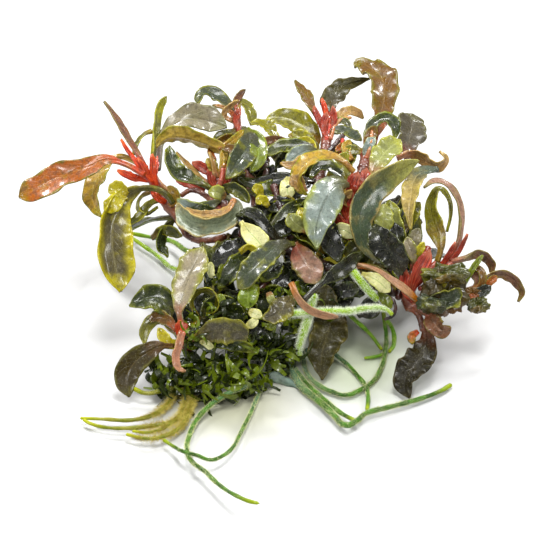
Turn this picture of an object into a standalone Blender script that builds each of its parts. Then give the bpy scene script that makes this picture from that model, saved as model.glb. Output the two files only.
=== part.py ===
"""A bucephalandra clump, lifted out of its tank and resting on a flat surface.

The origin is on that surface, under the middle of the clump. X runs to the right, Y to the back
and Z up. Crowns of leaves grow from a creeping rhizome, and roots and a tuft of moss carry it.
"""

import math

import bmesh
import bpy
from mathutils import Vector

MM = 0.001

# Routes are drawn on a sheet that leans back, square to a look from 35 degrees above the surface.
# Its x runs right and its y down, five units to the millimetre. The third number of a place is
# how many millimetres it stands in front of the sheet, whose top curves away from the eye.
LOOK_DOWN = math.radians(35)
EYE_DISTANCE = 450.0
SHEET_UNITS = 5.0
SHEET_MIDDLE_X = 266.5
SHEET_GROUND_Y = 325.0
SHEET_FLAT_UP_TO = 20.0
SHEET_CURVE = 0.0137

# Where the sheet's middle stands, so that the origin is under the middle of the whole clump
MIDDLE_RIGHT = -0.48
MIDDLE_BACK = 5.66

# Leaves
PETIOLE_WIDTH = 1.1
PETIOLE_DEPTH = 1.0
MIDRIB_DEPTH = 0.8
MARGIN_DEPTH = 0.35
TIP_WIDTH = 0.5
LEAF_STATIONS = (0.0, 0.15, 0.3, 0.45, 0.6, 0.74, 0.88, 1.0)
YOUNG_STATIONS = (0.0, 0.22, 0.5, 0.78, 1.0)
WAVES = 1.6
LEAF_MESH_LENGTH = 20.0

# Stems and roots
TUBE_SIDES_LEVEL = 1
MANY_PLACES = 12

# The moss tuft, as a lump cut off flat where it rests
MOSS_MIDDLE = (-13.0, -22.0, 2.0)
MOSS_SIZE = (11.0, 5.2, 4.8)
MOSS_LUMPS = 0.16
MOSS_CLEARANCE = 0.4

for old in list(bpy.data.objects):
    bpy.data.objects.remove(old)


def new_object(name, data):
    made = bpy.data.objects.new(name, data)
    bpy.context.scene.collection.objects.link(made)
    return made


table = new_object("table", None)
table.location = (MIDDLE_RIGHT * MM, MIDDLE_BACK * MM, 0)
sheet = new_object("sheet", None)
sheet.rotation_euler = (math.pi / 2 - LOOK_DOWN, 0, 0)
sheet.parent = table


def spot(x, y, near):
    """The place of a drawn point in the sheet's own axes: right, up the sheet, toward the eye."""
    rise = (SHEET_GROUND_Y - y) / SHEET_UNITS
    near -= SHEET_CURVE * max(0.0, rise - SHEET_FLAT_UP_TO) ** 2
    shrink = (1 - near / EYE_DISTANCE) * MM
    return Vector(((x - SHEET_MIDDLE_X) / SHEET_UNITS * shrink, rise * shrink, near * MM))


def table_spot(right, back, up):
    """A place in the table's own axes: right, to the back and up, for what grows out of sight."""
    return Vector((right, back, up)) * MM


def plain_material(name, colour, roughness):
    material = bpy.data.materials.new(name)
    material.use_nodes = True
    shader = material.node_tree.nodes["Principled BSDF"]
    shader.inputs["Base Color"].default_value = (*colour, 1)
    shader.inputs["Roughness"].default_value = roughness
    shader.inputs["Metallic"].default_value = 0.0
    return material


LEAF_GREEN = plain_material("leaf_green", (0.06, 0.09, 0.03), 0.3)
LEAF_OLIVE = plain_material("leaf_olive", (0.16, 0.14, 0.03), 0.35)
LEAF_MAUVE = plain_material("leaf_mauve", (0.13, 0.06, 0.06), 0.35)
STEM_RED = plain_material("stem_red", (0.24, 0.05, 0.03), 0.4)
ROOT_GREEN = plain_material("root_green", (0.4, 0.45, 0.2), 0.6)
ROOT_WHITE = plain_material("root_white", (0.7, 0.72, 0.6), 0.7)
MOSS_GREEN = plain_material("moss_green", (0.06, 0.13, 0.01), 0.7)


def routed_curve(name, route, drawn):
    """A smooth curve object through places drawn on the sheet, or given on the table's axes."""
    data = bpy.data.curves.new(name, "CURVE")
    data.dimensions = "3D"
    data.twist_mode = "Z_UP"
    spline = data.splines.new("BEZIER")
    spline.bezier_points.add(len(route) - 1)
    for point, place in zip(spline.bezier_points, route):
        point.co = spot(*place) if drawn else table_spot(*place)
        point.handle_left_type = "AUTO"
        point.handle_right_type = "AUTO"
    made = new_object(name, data)
    made.parent = sheet if drawn else table
    return made, spline


def share_between(values, share):
    """Reads a value between the first and last of a short list, by share of the way along."""
    place = share * (len(values) - 1)
    below = min(int(place), len(values) - 2)
    return values[below] + (values[below + 1] - values[below]) * (place - below)


def half_width(share, width, stalk, widest):
    """Half of a leaf's width: a narrow petiole, a smooth rise and a rounded, pointed end."""
    narrow = PETIOLE_WIDTH / 2
    if share <= stalk:
        return narrow
    if share < widest:
        rise = math.sin(math.pi / 2 * (share - stalk) / (widest - stalk))
        return narrow + (width / 2 - narrow) * rise**0.8
    fall = (share - widest) / (1 - widest)
    return TIP_WIDTH / 2 + (width - TIP_WIDTH) / 2 * (1 - fall**2.6)


def flat_leaf(width, stalk, widest, fold, wave, stations):
    """A straight leaf along X, with its upper face to +Z, as rings of six points."""
    flat = bmesh.new()
    rings = []
    for share in stations:
        half = half_width(share, width, stalk, widest)
        blade = min(1.0, share / max(stalk, 0.01)) if share > 0 else 0.0
        middle = PETIOLE_DEPTH + (MIDRIB_DEPTH - PETIOLE_DEPTH) * blade
        margin = PETIOLE_DEPTH * 0.6 + (MARGIN_DEPTH - PETIOLE_DEPTH * 0.6) * blade
        turn = 2 * math.pi * WAVES * share
        left = half * (fold + wave * math.sin(turn))
        right = half * (fold + wave * math.sin(turn + 2.0))
        outline = (
            (half, left + margin / 2),
            (half, left - margin / 2),
            (0.0, -middle / 2),
            (-half, right - margin / 2),
            (-half, right + margin / 2),
            (0.0, middle / 2),
        )
        ring = []
        for across, high in outline:
            ring.append(flat.verts.new(Vector((share * LEAF_MESH_LENGTH, across, high)) * MM))
        rings.append(ring)
    for first, second in zip(rings, rings[1:]):
        for step in range(6):
            following = (step + 1) % 6
            flat.faces.new((first[step], first[following], second[following], second[step]))
    flat.faces.new(list(reversed(rings[0])))
    flat.faces.new(rings[-1])
    bmesh.ops.recalc_face_normals(flat, faces=flat.faces)
    mesh = bpy.data.meshes.new("flat_leaf")
    flat.to_mesh(mesh)
    flat.free()
    return mesh


def bent_leaf(name, route, width, roll=(0, 0), widest=0.6, stalk=0.12, fold=0.25, wave=0.12,
              stations=LEAF_STATIONS, drawn=True):
    """A leaf bent along its route. Roll turns it about its length, from base to tip, in degrees:
    at 0 its upper face looks at the eye, at 180 its underside does."""
    guide, spline = routed_curve("guide", route, drawn)
    guide.data.use_stretch = True
    guide.data.use_deform_bounds = True
    guide.hide_render = True
    guide.display_type = "WIRE"
    for index, point in enumerate(spline.bezier_points):
        point.tilt = math.radians(share_between(roll, index / (len(route) - 1)))
    leaf = new_object(name, flat_leaf(width, stalk, widest, fold, wave, stations))
    leaf.parent = guide.parent
    bend = leaf.modifiers.new("bend", "CURVE")
    bend.object = guide
    bend.deform_axis = "POS_X"
    shaped = evaluated_mesh(leaf)
    leaf.modifiers.clear()
    leaf.data = shaped
    bpy.data.objects.remove(guide)
    return leaf


def leaf_node(name, material, route, width, **shape):
    leaf = bent_leaf(name, route, width, **shape)
    leaf.data.shade_smooth()
    leaf.data.set_sharp_from_angle(angle=math.radians(50))
    leaf.data.materials.append(material)
    return leaf


def tube(name, route, radii):
    """A round stem or root along its route, its radius read between the given ones."""
    made, spline = routed_curve(name, route, drawn=True)
    made.data.bevel_depth = 1.0 * MM
    made.data.bevel_resolution = TUBE_SIDES_LEVEL
    made.data.resolution_u = 1 if len(route) >= MANY_PLACES else 2
    made.data.render_resolution_u = 0
    made.data.use_fill_caps = True
    for index, point in enumerate(spline.bezier_points):
        point.radius = share_between(radii, index / (len(route) - 1))
    solid = evaluated_mesh(made)
    bpy.data.objects.remove(made)
    piece = new_object(name, solid)
    piece.parent = sheet
    return piece


def evaluated_mesh(thing):
    return bpy.data.meshes.new_from_object(thing.evaluated_get(bpy.context.evaluated_depsgraph_get()))


def combine(piece, others, operation):
    """Joins others to a piece, or cuts them out of it, and removes them."""
    for other in others:
        change = piece.modifiers.new("change", "BOOLEAN")
        change.operation = operation
        change.object = other
        shaped = evaluated_mesh(piece)
        piece.modifiers.clear()
        piece.data = shaped
        bpy.data.objects.remove(other)


def fused(piece, growths):
    """Joins young leaves or side strands to what they grow from, as one closed body."""
    combine(piece, growths, "UNION")


def finish(piece, material):
    piece.data.materials.clear()
    piece.data.materials.append(material)
    piece.data.shade_smooth()
    piece.data.set_sharp_from_angle(angle=math.radians(50))
    return piece


def young(route, width, **shape):
    """A young leaf, to be fused to its stem: its route starts inside the stem."""
    return bent_leaf("young", route, width, stations=YOUNG_STATIONS, **shape)


def hidden(route, width, **shape):
    """A young leaf behind the clump, its route given on the table's axes."""
    return bent_leaf("hidden", route, width, stations=YOUNG_STATIONS, drawn=False, **shape)


def left_crown():
    leaf_node("left_leaf_1", LEAF_MAUVE,
              [(145, 175, 3.5), (125, 163, 4), (105, 159, 4), (87, 166, 5), (60, 176, 5),
               (35, 189, 6), (17, 196, 6)], 5.4, roll=(30, 15), widest=0.72, stalk=0.22)
    leaf_node("left_leaf_2", LEAF_MAUVE,
              [(146, 170, 1), (138, 155, 1.5), (129, 141, 1), (112, 113, 0), (104, 101, 0)],
              3.2, roll=(50, 60), stalk=0.2)
    leaf_node("left_leaf_3", LEAF_GREEN,
              [(158, 170, -1), (160, 155, -2), (163, 140, -3), (175, 124, -3), (190, 117, -3),
               (210, 120, -4), (227, 127, -4)], 5.8, roll=(-40, -20), widest=0.75, stalk=0.3)
    leaf_node("left_leaf_4", LEAF_GREEN,
              [(173, 203, 3.5), (164, 192, 5), (150, 187, 6), (133, 190, 7), (121, 200, 8),
               (114, 215, 9), (112, 235, 10), (115, 260, 11), (118, 291, 12)], 6.4,
              roll=(-40, -25, -15, -10), widest=0.75, stalk=0.25)
    leaf_node("left_leaf_5", LEAF_OLIVE,
              [(143, 167, -2), (131, 160, -3), (117, 157, -3), (106, 165, -3), (97, 178, -2),
               (92, 192, -1), (95, 208, 1), (101, 217, 2)], 3.8, roll=(60, 50), stalk=0.3)
    stem = tube("left_stem", [(151, 177, 0.5), (163, 198, 1), (179, 220, 2), (192, 238, 3),
                              (212, 240, 4.5), (227, 236, 5.2)], (1.2, 1.2, 0.9, 0.8))
    fused(stem, [
        young([(152, 179, 0), (152, 165, -2.5), (154, 145, -4), (157, 120, -5), (160, 106, -5),
               (166, 96, -5)], 2.0, roll=(60, 30), stalk=0.4, widest=0.8),
        young([(152, 180, 1), (135, 178, 0.5), (117, 170, 0)], 2.4, roll=(40, 20)),
        young([(163, 198, 1), (150, 204, 0), (140, 216, -1), (125, 226, -2)], 2.2, roll=(40, 40)),
        young([(176, 216, 2), (166, 228, 1), (160, 244, 1), (168, 257, 2)], 2.4, roll=(-30, -50)),
        hidden([(-18.6, 10.8, 18.6), (-24, 15, 15), (-30, 18, 9), (-34, 19, 3)], 4.2),
    ])
    finish(stem, STEM_RED)


def middle_crown():
    leaf_node("middle_leaf_1", LEAF_OLIVE,
              [(223, 168, 3.5), (223, 152, 2), (206, 143, 2), (190, 138, 3), (175, 136, 4),
               (163, 139, 4), (156, 147, 3)], 3.6, roll=(130, 130), stalk=0.1)
    leaf_node("middle_leaf_2", LEAF_GREEN,
              [(210, 188, 5), (200, 183, 6), (188, 178, 7), (178, 172, 8), (172, 160, 8),
               (169, 146, 7)], 3.4, roll=(30, 35), stalk=0.1)
    leaf_node("middle_leaf_3", LEAF_GREEN,
              [(244, 128, -2), (248, 140, 1), (242, 157, 5), (233, 170, 7), (227, 178, 7.5)],
              4.2, roll=(-20, -10), stalk=0.15)
    leaf_node("middle_leaf_4", LEAF_GREEN,
              [(228, 197, 5), (236, 207, 8), (226, 219, 10), (210, 224, 11), (195, 222, 11),
               (182, 212, 10), (177, 203, 9)], 4.0, roll=(-40, -50, -50), stalk=0.1)
    stem = tube("middle_stem", [(217, 175, 2), (219, 194, 2), (228, 212, 3), (236, 225, 4.2)],
                (1.2, 1.2, 1.0))
    fused(stem, [
        young([(217, 178, 2), (206, 170, 1.5), (192, 162, 1)], 2.6, roll=(20, 20)),
        young([(217, 180, 2), (213, 168, 3), (207, 158, 3.5)], 2.2, roll=(30, 10)),
        young([(218, 186, 2), (205, 181, 2.5), (190, 168, 1.5), (176, 152, 1)], 1.8, roll=(60, 60)),
        young([(219, 190, 2), (228, 187, 4), (240, 192, 5), (249, 203, 5)], 2.4, roll=(20, 20)),
    ])
    finish(stem, STEM_RED)


def top_crown():
    leaf_node("top_leaf_1", LEAF_OLIVE,
              [(278, 147, -4), (274, 136, -5), (267, 127, -5), (259, 123, -5), (250, 124, -5)],
              3.2, roll=(50, 50), stalk=0.12)
    leaf_node("top_leaf_2", LEAF_GREEN,
              [(313, 141, -7), (309, 130, -8), (300, 121, -8), (287, 116, -8), (273, 116, -8),
               (259, 119, -8)], 4.2, roll=(20, 20), stalk=0.15)
    stem = tube("top_stem", [(236, 110, -8), (238, 130, -6.5), (244, 155, -4.5), (251, 185, -2),
                             (256, 205, 0.5), (258, 216, 2)], (0.8, 1.0, 1.0))
    fused(stem, [
        young([(236, 113, -8), (227, 102, -8), (213, 94, -8), (203, 94, -7), (198, 103, -6)],
              3.2, roll=(30, 40)),
        young([(236, 112, -8), (242, 103, -9), (249, 110, -9), (251, 124, -9)], 2.6,
              roll=(-40, -40)),
        young([(236, 112, -8), (237, 98, -8), (245, 89, -8)], 1.8, roll=(30, 30)),
        young([(238, 130, -6.5), (226, 134, -5), (213, 139, -4.5)], 2.0, roll=(30, 30)),
        young([(243, 150, -5), (254, 146, -3.5), (259, 156, -2), (257, 169, -1)], 2.2,
              roll=(-30, -30)),
    ])
    finish(stem, STEM_RED)


def back_crown():
    leaf_node("back_leaf_1", LEAF_MAUVE,
              [(323, 126, -6.5), (315, 112, -6), (307, 99, -6), (295, 82, -7)], 3.0,
              roll=(40, 40), stalk=0.3)
    leaf_node("back_leaf_2", LEAF_GREEN,
              [(331, 116, -6.5), (334, 100, -7), (341, 87, -7), (352, 80, -8), (368, 78, -9)],
              4.4, roll=(-30, -20), widest=0.5, stalk=0.15)
    leaf_node("back_leaf_3", LEAF_OLIVE,
              [(374, 145, -4), (378, 128, -4.5), (383, 108, -5), (387, 90, -5), (382, 73, -6),
               (370, 66, -7), (360, 62, -7), (355, 67, -7)], 5.0, roll=(20, 25), stalk=0.1)
    stem = tube("back_stem", [(328, 124, -5.5), (326, 145, -4.5), (320, 175, -2), (313, 205, 2),
                              (304, 228, 6.2)], (1.0, 1.1, 1.2))
    fused(stem, [
        young([(328, 125, -5.5), (326, 112, -5), (322, 98, -5)], 1.4, roll=(30, 30), stalk=0.6,
              widest=0.7),
        young([(328, 127, -5.5), (340, 115, -5.5), (354, 111, -6), (364, 118, -7)], 2.2,
              roll=(-20, -20)),
        young([(327, 132, -5), (345, 131, -4), (362, 140, -3)], 2.4, roll=(-30, -30)),
        young([(322, 160, -3), (305, 147, -2.5), (283, 147, -2.5), (266, 156, -1.5)], 3.2,
              roll=(30, 30)),
        young([(318, 182, -1), (300, 180, 1), (276, 179, 1), (256, 184, 1), (238, 178, 1)], 2.6,
              roll=(30, 20)),
        young([(320, 170, -2), (308, 158, 0), (294, 166, 1.5), (280, 163, 1.5)], 2.0,
              roll=(20, 20)),
        young([(308, 218, 4.5), (322, 225, 9), (331, 242, 10.5), (339, 262, 11.5)], 4.4,
              roll=(10, 0)),
    ])
    finish(stem, STEM_RED)


def centre_crown():
    leaf_node("centre_leaf_1", LEAF_OLIVE,
              [(354, 172, 6), (343, 162, 7), (328, 156, 8), (313, 159, 8.5), (302, 168, 9),
               (297, 178, 9), (300, 188, 9), (307, 195, 9)], 3.6, roll=(45, 50), stalk=0.12)
    leaf_node("centre_leaf_2", LEAF_GREEN,
              [(347, 182, 8), (336, 179, 11), (326, 188, 14), (318, 205, 16), (313, 225, 17),
               (315, 246, 17)], 6.2, roll=(0, 0, 5), widest=0.55, stalk=0.15)
    leaf_node("centre_leaf_3", LEAF_GREEN,
              [(371, 178, 6.5), (377, 164, 6.5), (387, 151, 5.5), (400, 143, 4.5)], 4.4,
              roll=(-20, -20), stalk=0.15)
    leaf_node("centre_leaf_4", LEAF_GREEN,
              [(407, 162, -2.5), (408, 147, -3), (411, 131, -4), (413, 115, -5)], 5.0,
              roll=(15, 15), widest=0.65, stalk=0.12)
    leaf_node("centre_leaf_5", LEAF_GREEN,
              [(399, 270, 8.5), (386, 263, 10), (369, 250, 11), (361, 232, 12), (361, 213, 12),
               (368, 196, 11.5), (382, 181, 10.5), (400, 169, 9), (417, 161, 8)], 4.2,
              roll=(30, 30), widest=0.5, stalk=0.1)
    leaf_node("centre_leaf_6", LEAF_MAUVE,
              [(397, 158, 1), (410, 153, 1), (421, 157, 1), (431, 164, 2), (441, 165, 3),
               (446, 158, 3), (440, 151, 3)], 2.8, roll=(40, 45), widest=0.4, stalk=0.1)
    leaf_node("centre_leaf_7", LEAF_MAUVE,
              [(437, 168, 5), (424, 172, 6), (414, 181, 8), (411, 196, 9.5), (409, 212, 11),
               (410, 230, 11.5)], 3.6, roll=(40, 35), stalk=0.1)
    stem = tube("centre_stem", [(367, 148, 0.5), (363, 172, 2.5), (354, 195, 4), (348, 222, 5),
                                (346, 245, 6), (347, 258, 7)], (1.1, 1.3, 1.2))
    fused(stem, [
        young([(365, 160, 1.5), (368, 148, 3), (375, 137, 3)], 2.0, roll=(-20, -20)),
        young([(358, 186, 3.2), (342, 176, 4), (324, 166, 4.5), (310, 178, 5)], 2.4,
              roll=(40, 40)),
        young([(366, 152, 0.8), (355, 150, 1), (342, 151, 0.5)], 2.0, roll=(20, 20)),
        young([(367, 150, 0.6), (371, 131, -1), (378, 120, -1), (388, 119, 0), (395, 127, 1),
               (395, 139, 1)], 3.0, roll=(-35, -35)),
    ])
    finish(stem, STEM_RED)


def right_crown():
    leaf_node("right_leaf_1", LEAF_GREEN,
              [(437, 262, 11), (440, 248, 10.5), (438, 236, 10), (432, 222, 9), (428, 210, 8.5),
               (430, 197, 7.5), (440, 189, 6), (449, 198, 5.5), (451, 213, 5.5),
               (447, 228, 5.5)], 4.2, roll=(-30, -30, -50), widest=0.35, stalk=0.12)
    leaf_node("right_leaf_2", LEAF_OLIVE,
              [(447, 262, 8.5), (458, 246, 8), (462, 228, 8), (461, 211, 8), (456, 196, 8.5),
               (447, 185, 9), (436, 181, 9.5), (424, 187, 10.5)], 2.8, roll=(50, 45),
              widest=0.7, stalk=0.35)
    leaf_node("right_leaf_3", LEAF_MAUVE,
              [(450, 262, 11), (466, 258, 9.5), (480, 254, 8.5), (491, 262, 8), (492, 275, 8)],
              2.4, roll=(40, 45), widest=0.7, stalk=0.3)
    leaf_node("right_leaf_4", LEAF_MAUVE,
              [(470, 290, 11), (479, 287, 11), (486, 279, 11), (496, 274, 11), (508, 275, 11),
               (518, 284, 11), (522, 293, 11), (518, 302, 11)], 2.2, roll=(40, 45), stalk=0.15)
    leaf_node("right_leaf_5", LEAF_GREEN,
              [(425, 301, 17.2), (436, 298, 17.6), (450, 297, 17.8), (461, 289, 17.5)], 4.0,
              roll=(20, 20), stalk=0.12)
    leaf_node("right_leaf_6", LEAF_MAUVE,
              [(417, 300, 15), (405, 290, 16.5), (390, 279, 17.5), (375, 269, 18),
               (358, 264, 18)], 2.2, roll=(30, 30), widest=0.7, stalk=0.2)
    leaf_node("right_leaf_7", LEAF_OLIVE,
              [(427, 306, 15), (431, 314, 16.5), (435, 325, 18), (442, 331, 18.5),
               (451, 327, 18.5)], 3.6, roll=(25, 25), stalk=0.12)
    leaf_node("right_leaf_8", LEAF_GREEN,
              [(419, 322, 13.5), (424, 335, 15), (421, 350, 16.5), (413, 365, 18.5),
               (407, 380, 20), (409, 397, 21.6)], 5.4, roll=(25, 20), stalk=0.1)
    leaf_node("right_leaf_9", LEAF_GREEN,
              [(401, 276, 13.5), (398, 262, 15), (389, 249, 15.5), (379, 237, 15.5),
               (375, 226, 15)], 5.0, roll=(-20, -20), widest=0.5, stalk=0.12)
    leaf_node("right_leaf_10", LEAF_GREEN,
              [(404, 262, 7), (401, 245, 7.5), (395, 230, 7.5), (391, 215, 7), (389, 200, 6.5)],
              4.4, roll=(-15, -15), fold=0.5, stalk=0.12)
    stem = tube("right_stem", [(429, 246, 8), (421, 264, 9.5), (412, 282, 11), (408, 297, 12),
                               (414, 312, 12.5)], (0.7, 1.3, 1.4, 1.2))
    fused(stem, [
        young([(413, 280, 10.8), (413, 262, 8.6), (414, 248, 7.5), (416, 234, 7),
               (420, 219, 6.5)], 3.0, roll=(30, 30)),
        young([(416, 275, 10.5), (432, 272, 14), (449, 264, 14.5), (461, 271, 14.5)], 3.2,
              roll=(-20, -30)),
        young([(411, 305, 12.3), (438, 310, 12), (456, 299, 12.5), (475, 295, 13),
               (477, 303, 14), (465, 312, 14.5)], 2.6, roll=(20, 30)),
        young([(419, 268, 10), (452, 276, 11.5), (482, 254, 11.5)], 1.6, roll=(-10, -20)),
        young([(410, 300, 12), (398, 318, 12), (385, 312, 12), (378, 290, 12.5)], 1.8,
              roll=(10, 20)),
    ])
    finish(stem, STEM_RED)


def front_leaves():
    leaf_node("front_leaf_1", LEAF_MAUVE,
              [(302, 238, 12.5), (304, 250, 13), (309, 264, 14), (316, 284, 15)], 5.6,
              roll=(-10, -10), stalk=0.05, widest=0.5)
    leaf_node("front_leaf_2", LEAF_GREEN,
              [(294, 244, 13.5), (283, 245, 15), (268, 254, 17), (256, 266, 19), (247, 278, 20),
               (240, 289, 20)], 4.2, roll=(20, 20), stalk=0.1)
    leaf_node("front_leaf_3", LEAF_OLIVE,
              [(241, 222, 12), (250, 233, 13), (262, 246, 13.5)], 4.0, roll=(-20, -20),
              stalk=0.1)
    leaf_node("front_leaf_4", LEAF_GREEN,
              [(304, 300, 20), (318, 287, 18.5), (335, 273, 16.5), (362, 252, 14)], 3.2,
              roll=(30, 25), widest=0.65, stalk=0.35)
    leaf_node("front_leaf_5", LEAF_GREEN,
              [(331, 318, 13), (324, 335, 14.5), (319, 352, 15.5), (321, 379, 16.8)], 5.8,
              roll=(-10, 0), stalk=0.12)
    leaf_node("front_leaf_6", LEAF_OLIVE,
              [(291, 296, 20), (281, 308, 21), (262, 318, 21)], 3.8, roll=(20, 20), stalk=0.1)
    leaf_node("front_leaf_7", LEAF_MAUVE,
              [(291, 283, 22), (298, 298, 23), (309, 309, 23), (322, 314, 22.5),
               (337, 317, 21.5)], 2.2, roll=(30, 30), stalk=0.2)


def low_crown():
    leaf_node("low_leaf_1", LEAF_OLIVE,
              [(181, 324, 21.5), (179, 310, 21.5), (182, 297, 20.5), (188, 280, 18.5),
               (196, 262, 16), (203, 247, 14)], 5.6, roll=(-15, -15), stalk=0.12)
    leaf_node("low_leaf_2", LEAF_GREEN,
              [(170, 322, 18.3), (166, 308, 18.3), (157, 298, 18), (143, 301, 18), (131, 306, 18)],
              5.0, roll=(15, 15), stalk=0.15)
    leaf_node("low_leaf_3", LEAF_OLIVE,
              [(173, 347, 20.5), (158, 346, 21), (142, 352, 21.5), (130, 363, 21.5),
               (122, 379, 21.5), (126, 395, 21.9)], 4.2, roll=(20, 15), stalk=0.12)
    leaf_node("low_leaf_4", LEAF_GREEN,
              [(196, 337, 22), (209, 331, 23), (224, 330, 23.5), (238, 334, 23),
               (247, 341, 22.5)], 4.2, roll=(20, 20), stalk=0.12)
    stem = tube("low_stem", [(184, 322, 20), (184, 342, 20), (198, 340, 17.5), (222, 322, 14.5),
                             (248, 300, 12), (262, 284, 10.5), (274, 264, 9.8)],
                (1.0, 1.4, 1.3, 1.2))
    fused(stem, [
        young([(184, 330, 20), (182, 336, 23.5), (178, 347, 25), (175, 357, 26), (179, 369, 26.5),
               (186, 371, 26.5)], 2.2, roll=(-30, -30)),
        young([(210, 331, 16), (206, 312, 16.5), (214, 303, 16.5), (240, 307, 16.5),
               (250, 313, 16.5)], 3.0, roll=(20, 20)),
        young([(184, 338, 20), (172, 328, 18), (160, 318, 16.5), (146, 330, 16.5),
               (144, 345, 17)], 2.4, roll=(20, 20)),
        young([(255, 293, 11.4), (252, 282, 15), (250, 294, 18), (250, 307, 19.5)], 3.2,
              roll=(-20, 0)),
    ])
    finish(stem, STEM_RED)


def rhizome():
    stem = tube("rhizome", [(238, 232, 6.5), (262, 239, 7.3), (285, 249, 8), (305, 258, 8.8),
                            (330, 268, 9.6), (360, 278, 10.3), (385, 288, 10.8),
                            (398, 294, 11)], (1.2, 1.5, 1.4))
    fused(stem, [
        young([(262, 239, 7.3), (247, 243, 9.5), (229, 254, 10), (210, 266, 10)], 4.4,
              roll=(20, 20)),
        young([(268, 242, 7.6), (246, 258, 11), (231, 272, 13.5), (218, 289, 14.5)], 3.8,
              roll=(20, 20)),
        young([(340, 272, 9.8), (330, 282, 10.5), (345, 300, 11), (374, 311, 11)], 4.6,
              roll=(0, 0), stalk=0.3, widest=0.8),
        hidden([(-0.9, 3.7, 18), (-3, 13, 16.5), (-5, 24, 10), (-6, 32, 3)], 4.6),
        hidden([(7.5, 0.3, 15.8), (8, 12, 14.5), (8, 25, 10), (9, 33, 4)], 4.8),
        hidden([(18.3, -3.2, 13.4), (22, 8, 13), (25, 20, 9), (27, 29, 3)], 4.6),
        hidden([(23, -4.7, 12.1), (29, 5, 11.5), (35, 13, 8), (39, 19, 3)], 4.4),
        hidden([(3.6, 2, 16.8), (4, 14, 18.5), (3, 26, 17), (1, 34, 12)], 4.2),
    ])
    finish(stem, STEM_RED)


# Roots that pass through the moss tuft
FRONT_LEFT_STRANDS = (
    ([(192, 372, 17.5), (178, 388, 19.5), (165, 407, 24.2), (150, 416, 26.8), (130, 420, 28),
      (105, 419, 27.7), (80, 418, 27.4)], (0.8, 1.0, 0.8)),
    ([(190, 376, 18), (192, 404, 23.6), (176, 420, 28), (150, 426, 29.6), (125, 428, 30.2),
      (100, 428, 30.3)], (0.8, 0.9, 0.7)),
    ([(191, 400, 22.6), (180, 427, 30), (161, 437, 32.8), (145, 438, 33.2), (126, 434, 32)],
     (0.8, 0.9, 0.7)),
)
LONG_STRAND = (
    [(260, 372, 14.8), (250, 386, 18.4), (235, 393, 20.3), (220, 398, 21.7), (207, 407, 24.3),
     (196, 419, 27.8), (190, 434, 32), (187, 450, 36.6), (192, 461, 39.8), (205, 471, 42.8),
     (220, 485, 46.8), (238, 496, 50), (250, 501, 51.5), (260, 503, 52)], (0.7, 0.7, 0.6))
CROSSING_STRAND = (
    [(268, 362, 14), (262, 385, 18.2), (256, 400, 22.2), (251, 412, 25.6), (245, 424, 29),
     (239, 436, 32.4), (233, 447, 35.5), (222, 456, 38), (210, 459.5, 39.2), (197, 455, 39.6),
     (186, 452, 39.4), (175, 447, 35.8), (163, 439, 33.4)], (0.5, 0.5, 0.4))


def root(name, material, *strands):
    """A root of one or more strands, each a route and its radii, fused together."""
    piece = tube(name, *strands[0])
    fused(piece, [tube("strand", *strand) for strand in strands[1:]])
    finish(piece, material)


def roots():
    root("front_left_root", ROOT_GREEN, *FRONT_LEFT_STRANDS)
    root("long_root", ROOT_GREEN, LONG_STRAND)
    root("crossing_root", ROOT_GREEN, CROSSING_STRAND)
    root("right_root", ROOT_GREEN,
         ([(277, 342, 10), (284, 358, 11.5), (293, 374, 15.2), (303, 388, 18.8), (320, 402, 22.8),
           (335, 416, 26.9), (346, 425, 29.5), (356, 421, 28.4), (366, 413, 26.1), (385, 408, 24.6),
           (408, 402, 22.9), (428, 396, 21.1), (442, 390, 19.4), (452, 384, 17.6)],
          (1.0, 0.8, 0.7)),
         ([(283, 354, 11), (297, 372, 14.5), (309, 386, 18.2), (325, 400, 22.2), (341, 413, 26),
           (356, 421, 28.3)], (0.7, 0.6)))
    root("bowed_root", ROOT_GREEN,
         ([(300, 340, 10), (303, 358, 11.4), (308, 375, 15.2), (320, 386, 18.4), (333, 392, 19.8),
           (345, 395, 20.7), (360, 390, 19.3), (372, 382, 17), (381, 368, 13.2), (385, 352, 9.2),
           (386, 335, 5.5), (384, 318, 6.5), (383, 305, 8)], (0.6, 0.6)))
    root("upper_white_root", ROOT_WHITE,
         ([(296, 322, 15), (310, 313, 16), (330, 311, 16.3), (350, 311, 16.3), (370, 308, 16),
           (385, 309, 15.5), (393, 315, 15)], (0.9, 0.8)))
    root("lower_white_root", ROOT_WHITE,
         ([(312, 297, 15.5), (311, 308, 13.5), (306, 325, 13.5), (301, 340, 14.5),
           (299, 350, 14.5), (301, 357, 14.5)], (1.0, 0.9)))
    root("back_left_root", ROOT_GREEN,
         ([(236, 243, 3), (215, 252, -2), (188, 251, -12), (168, 240, -21.5), (150, 237, -23.8),
           (125, 232, -25.2)], (0.6, 0.7, 0.6)),
         ([(225, 247, 1), (198, 262, -5), (175, 269, -13.5), (155, 254, -19),
           (132, 238, -23.5)], (0.6, 0.6)))
    root("back_right_root", ROOT_GREEN,
         ([(335, 262, 7), (345, 262, 2), (352, 255, -5), (358, 248, -12), (356, 243, -19),
           (345, 238, -23.6), (325, 236, -24.2), (305, 240, -23)], (0.8, 0.6)))


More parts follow.
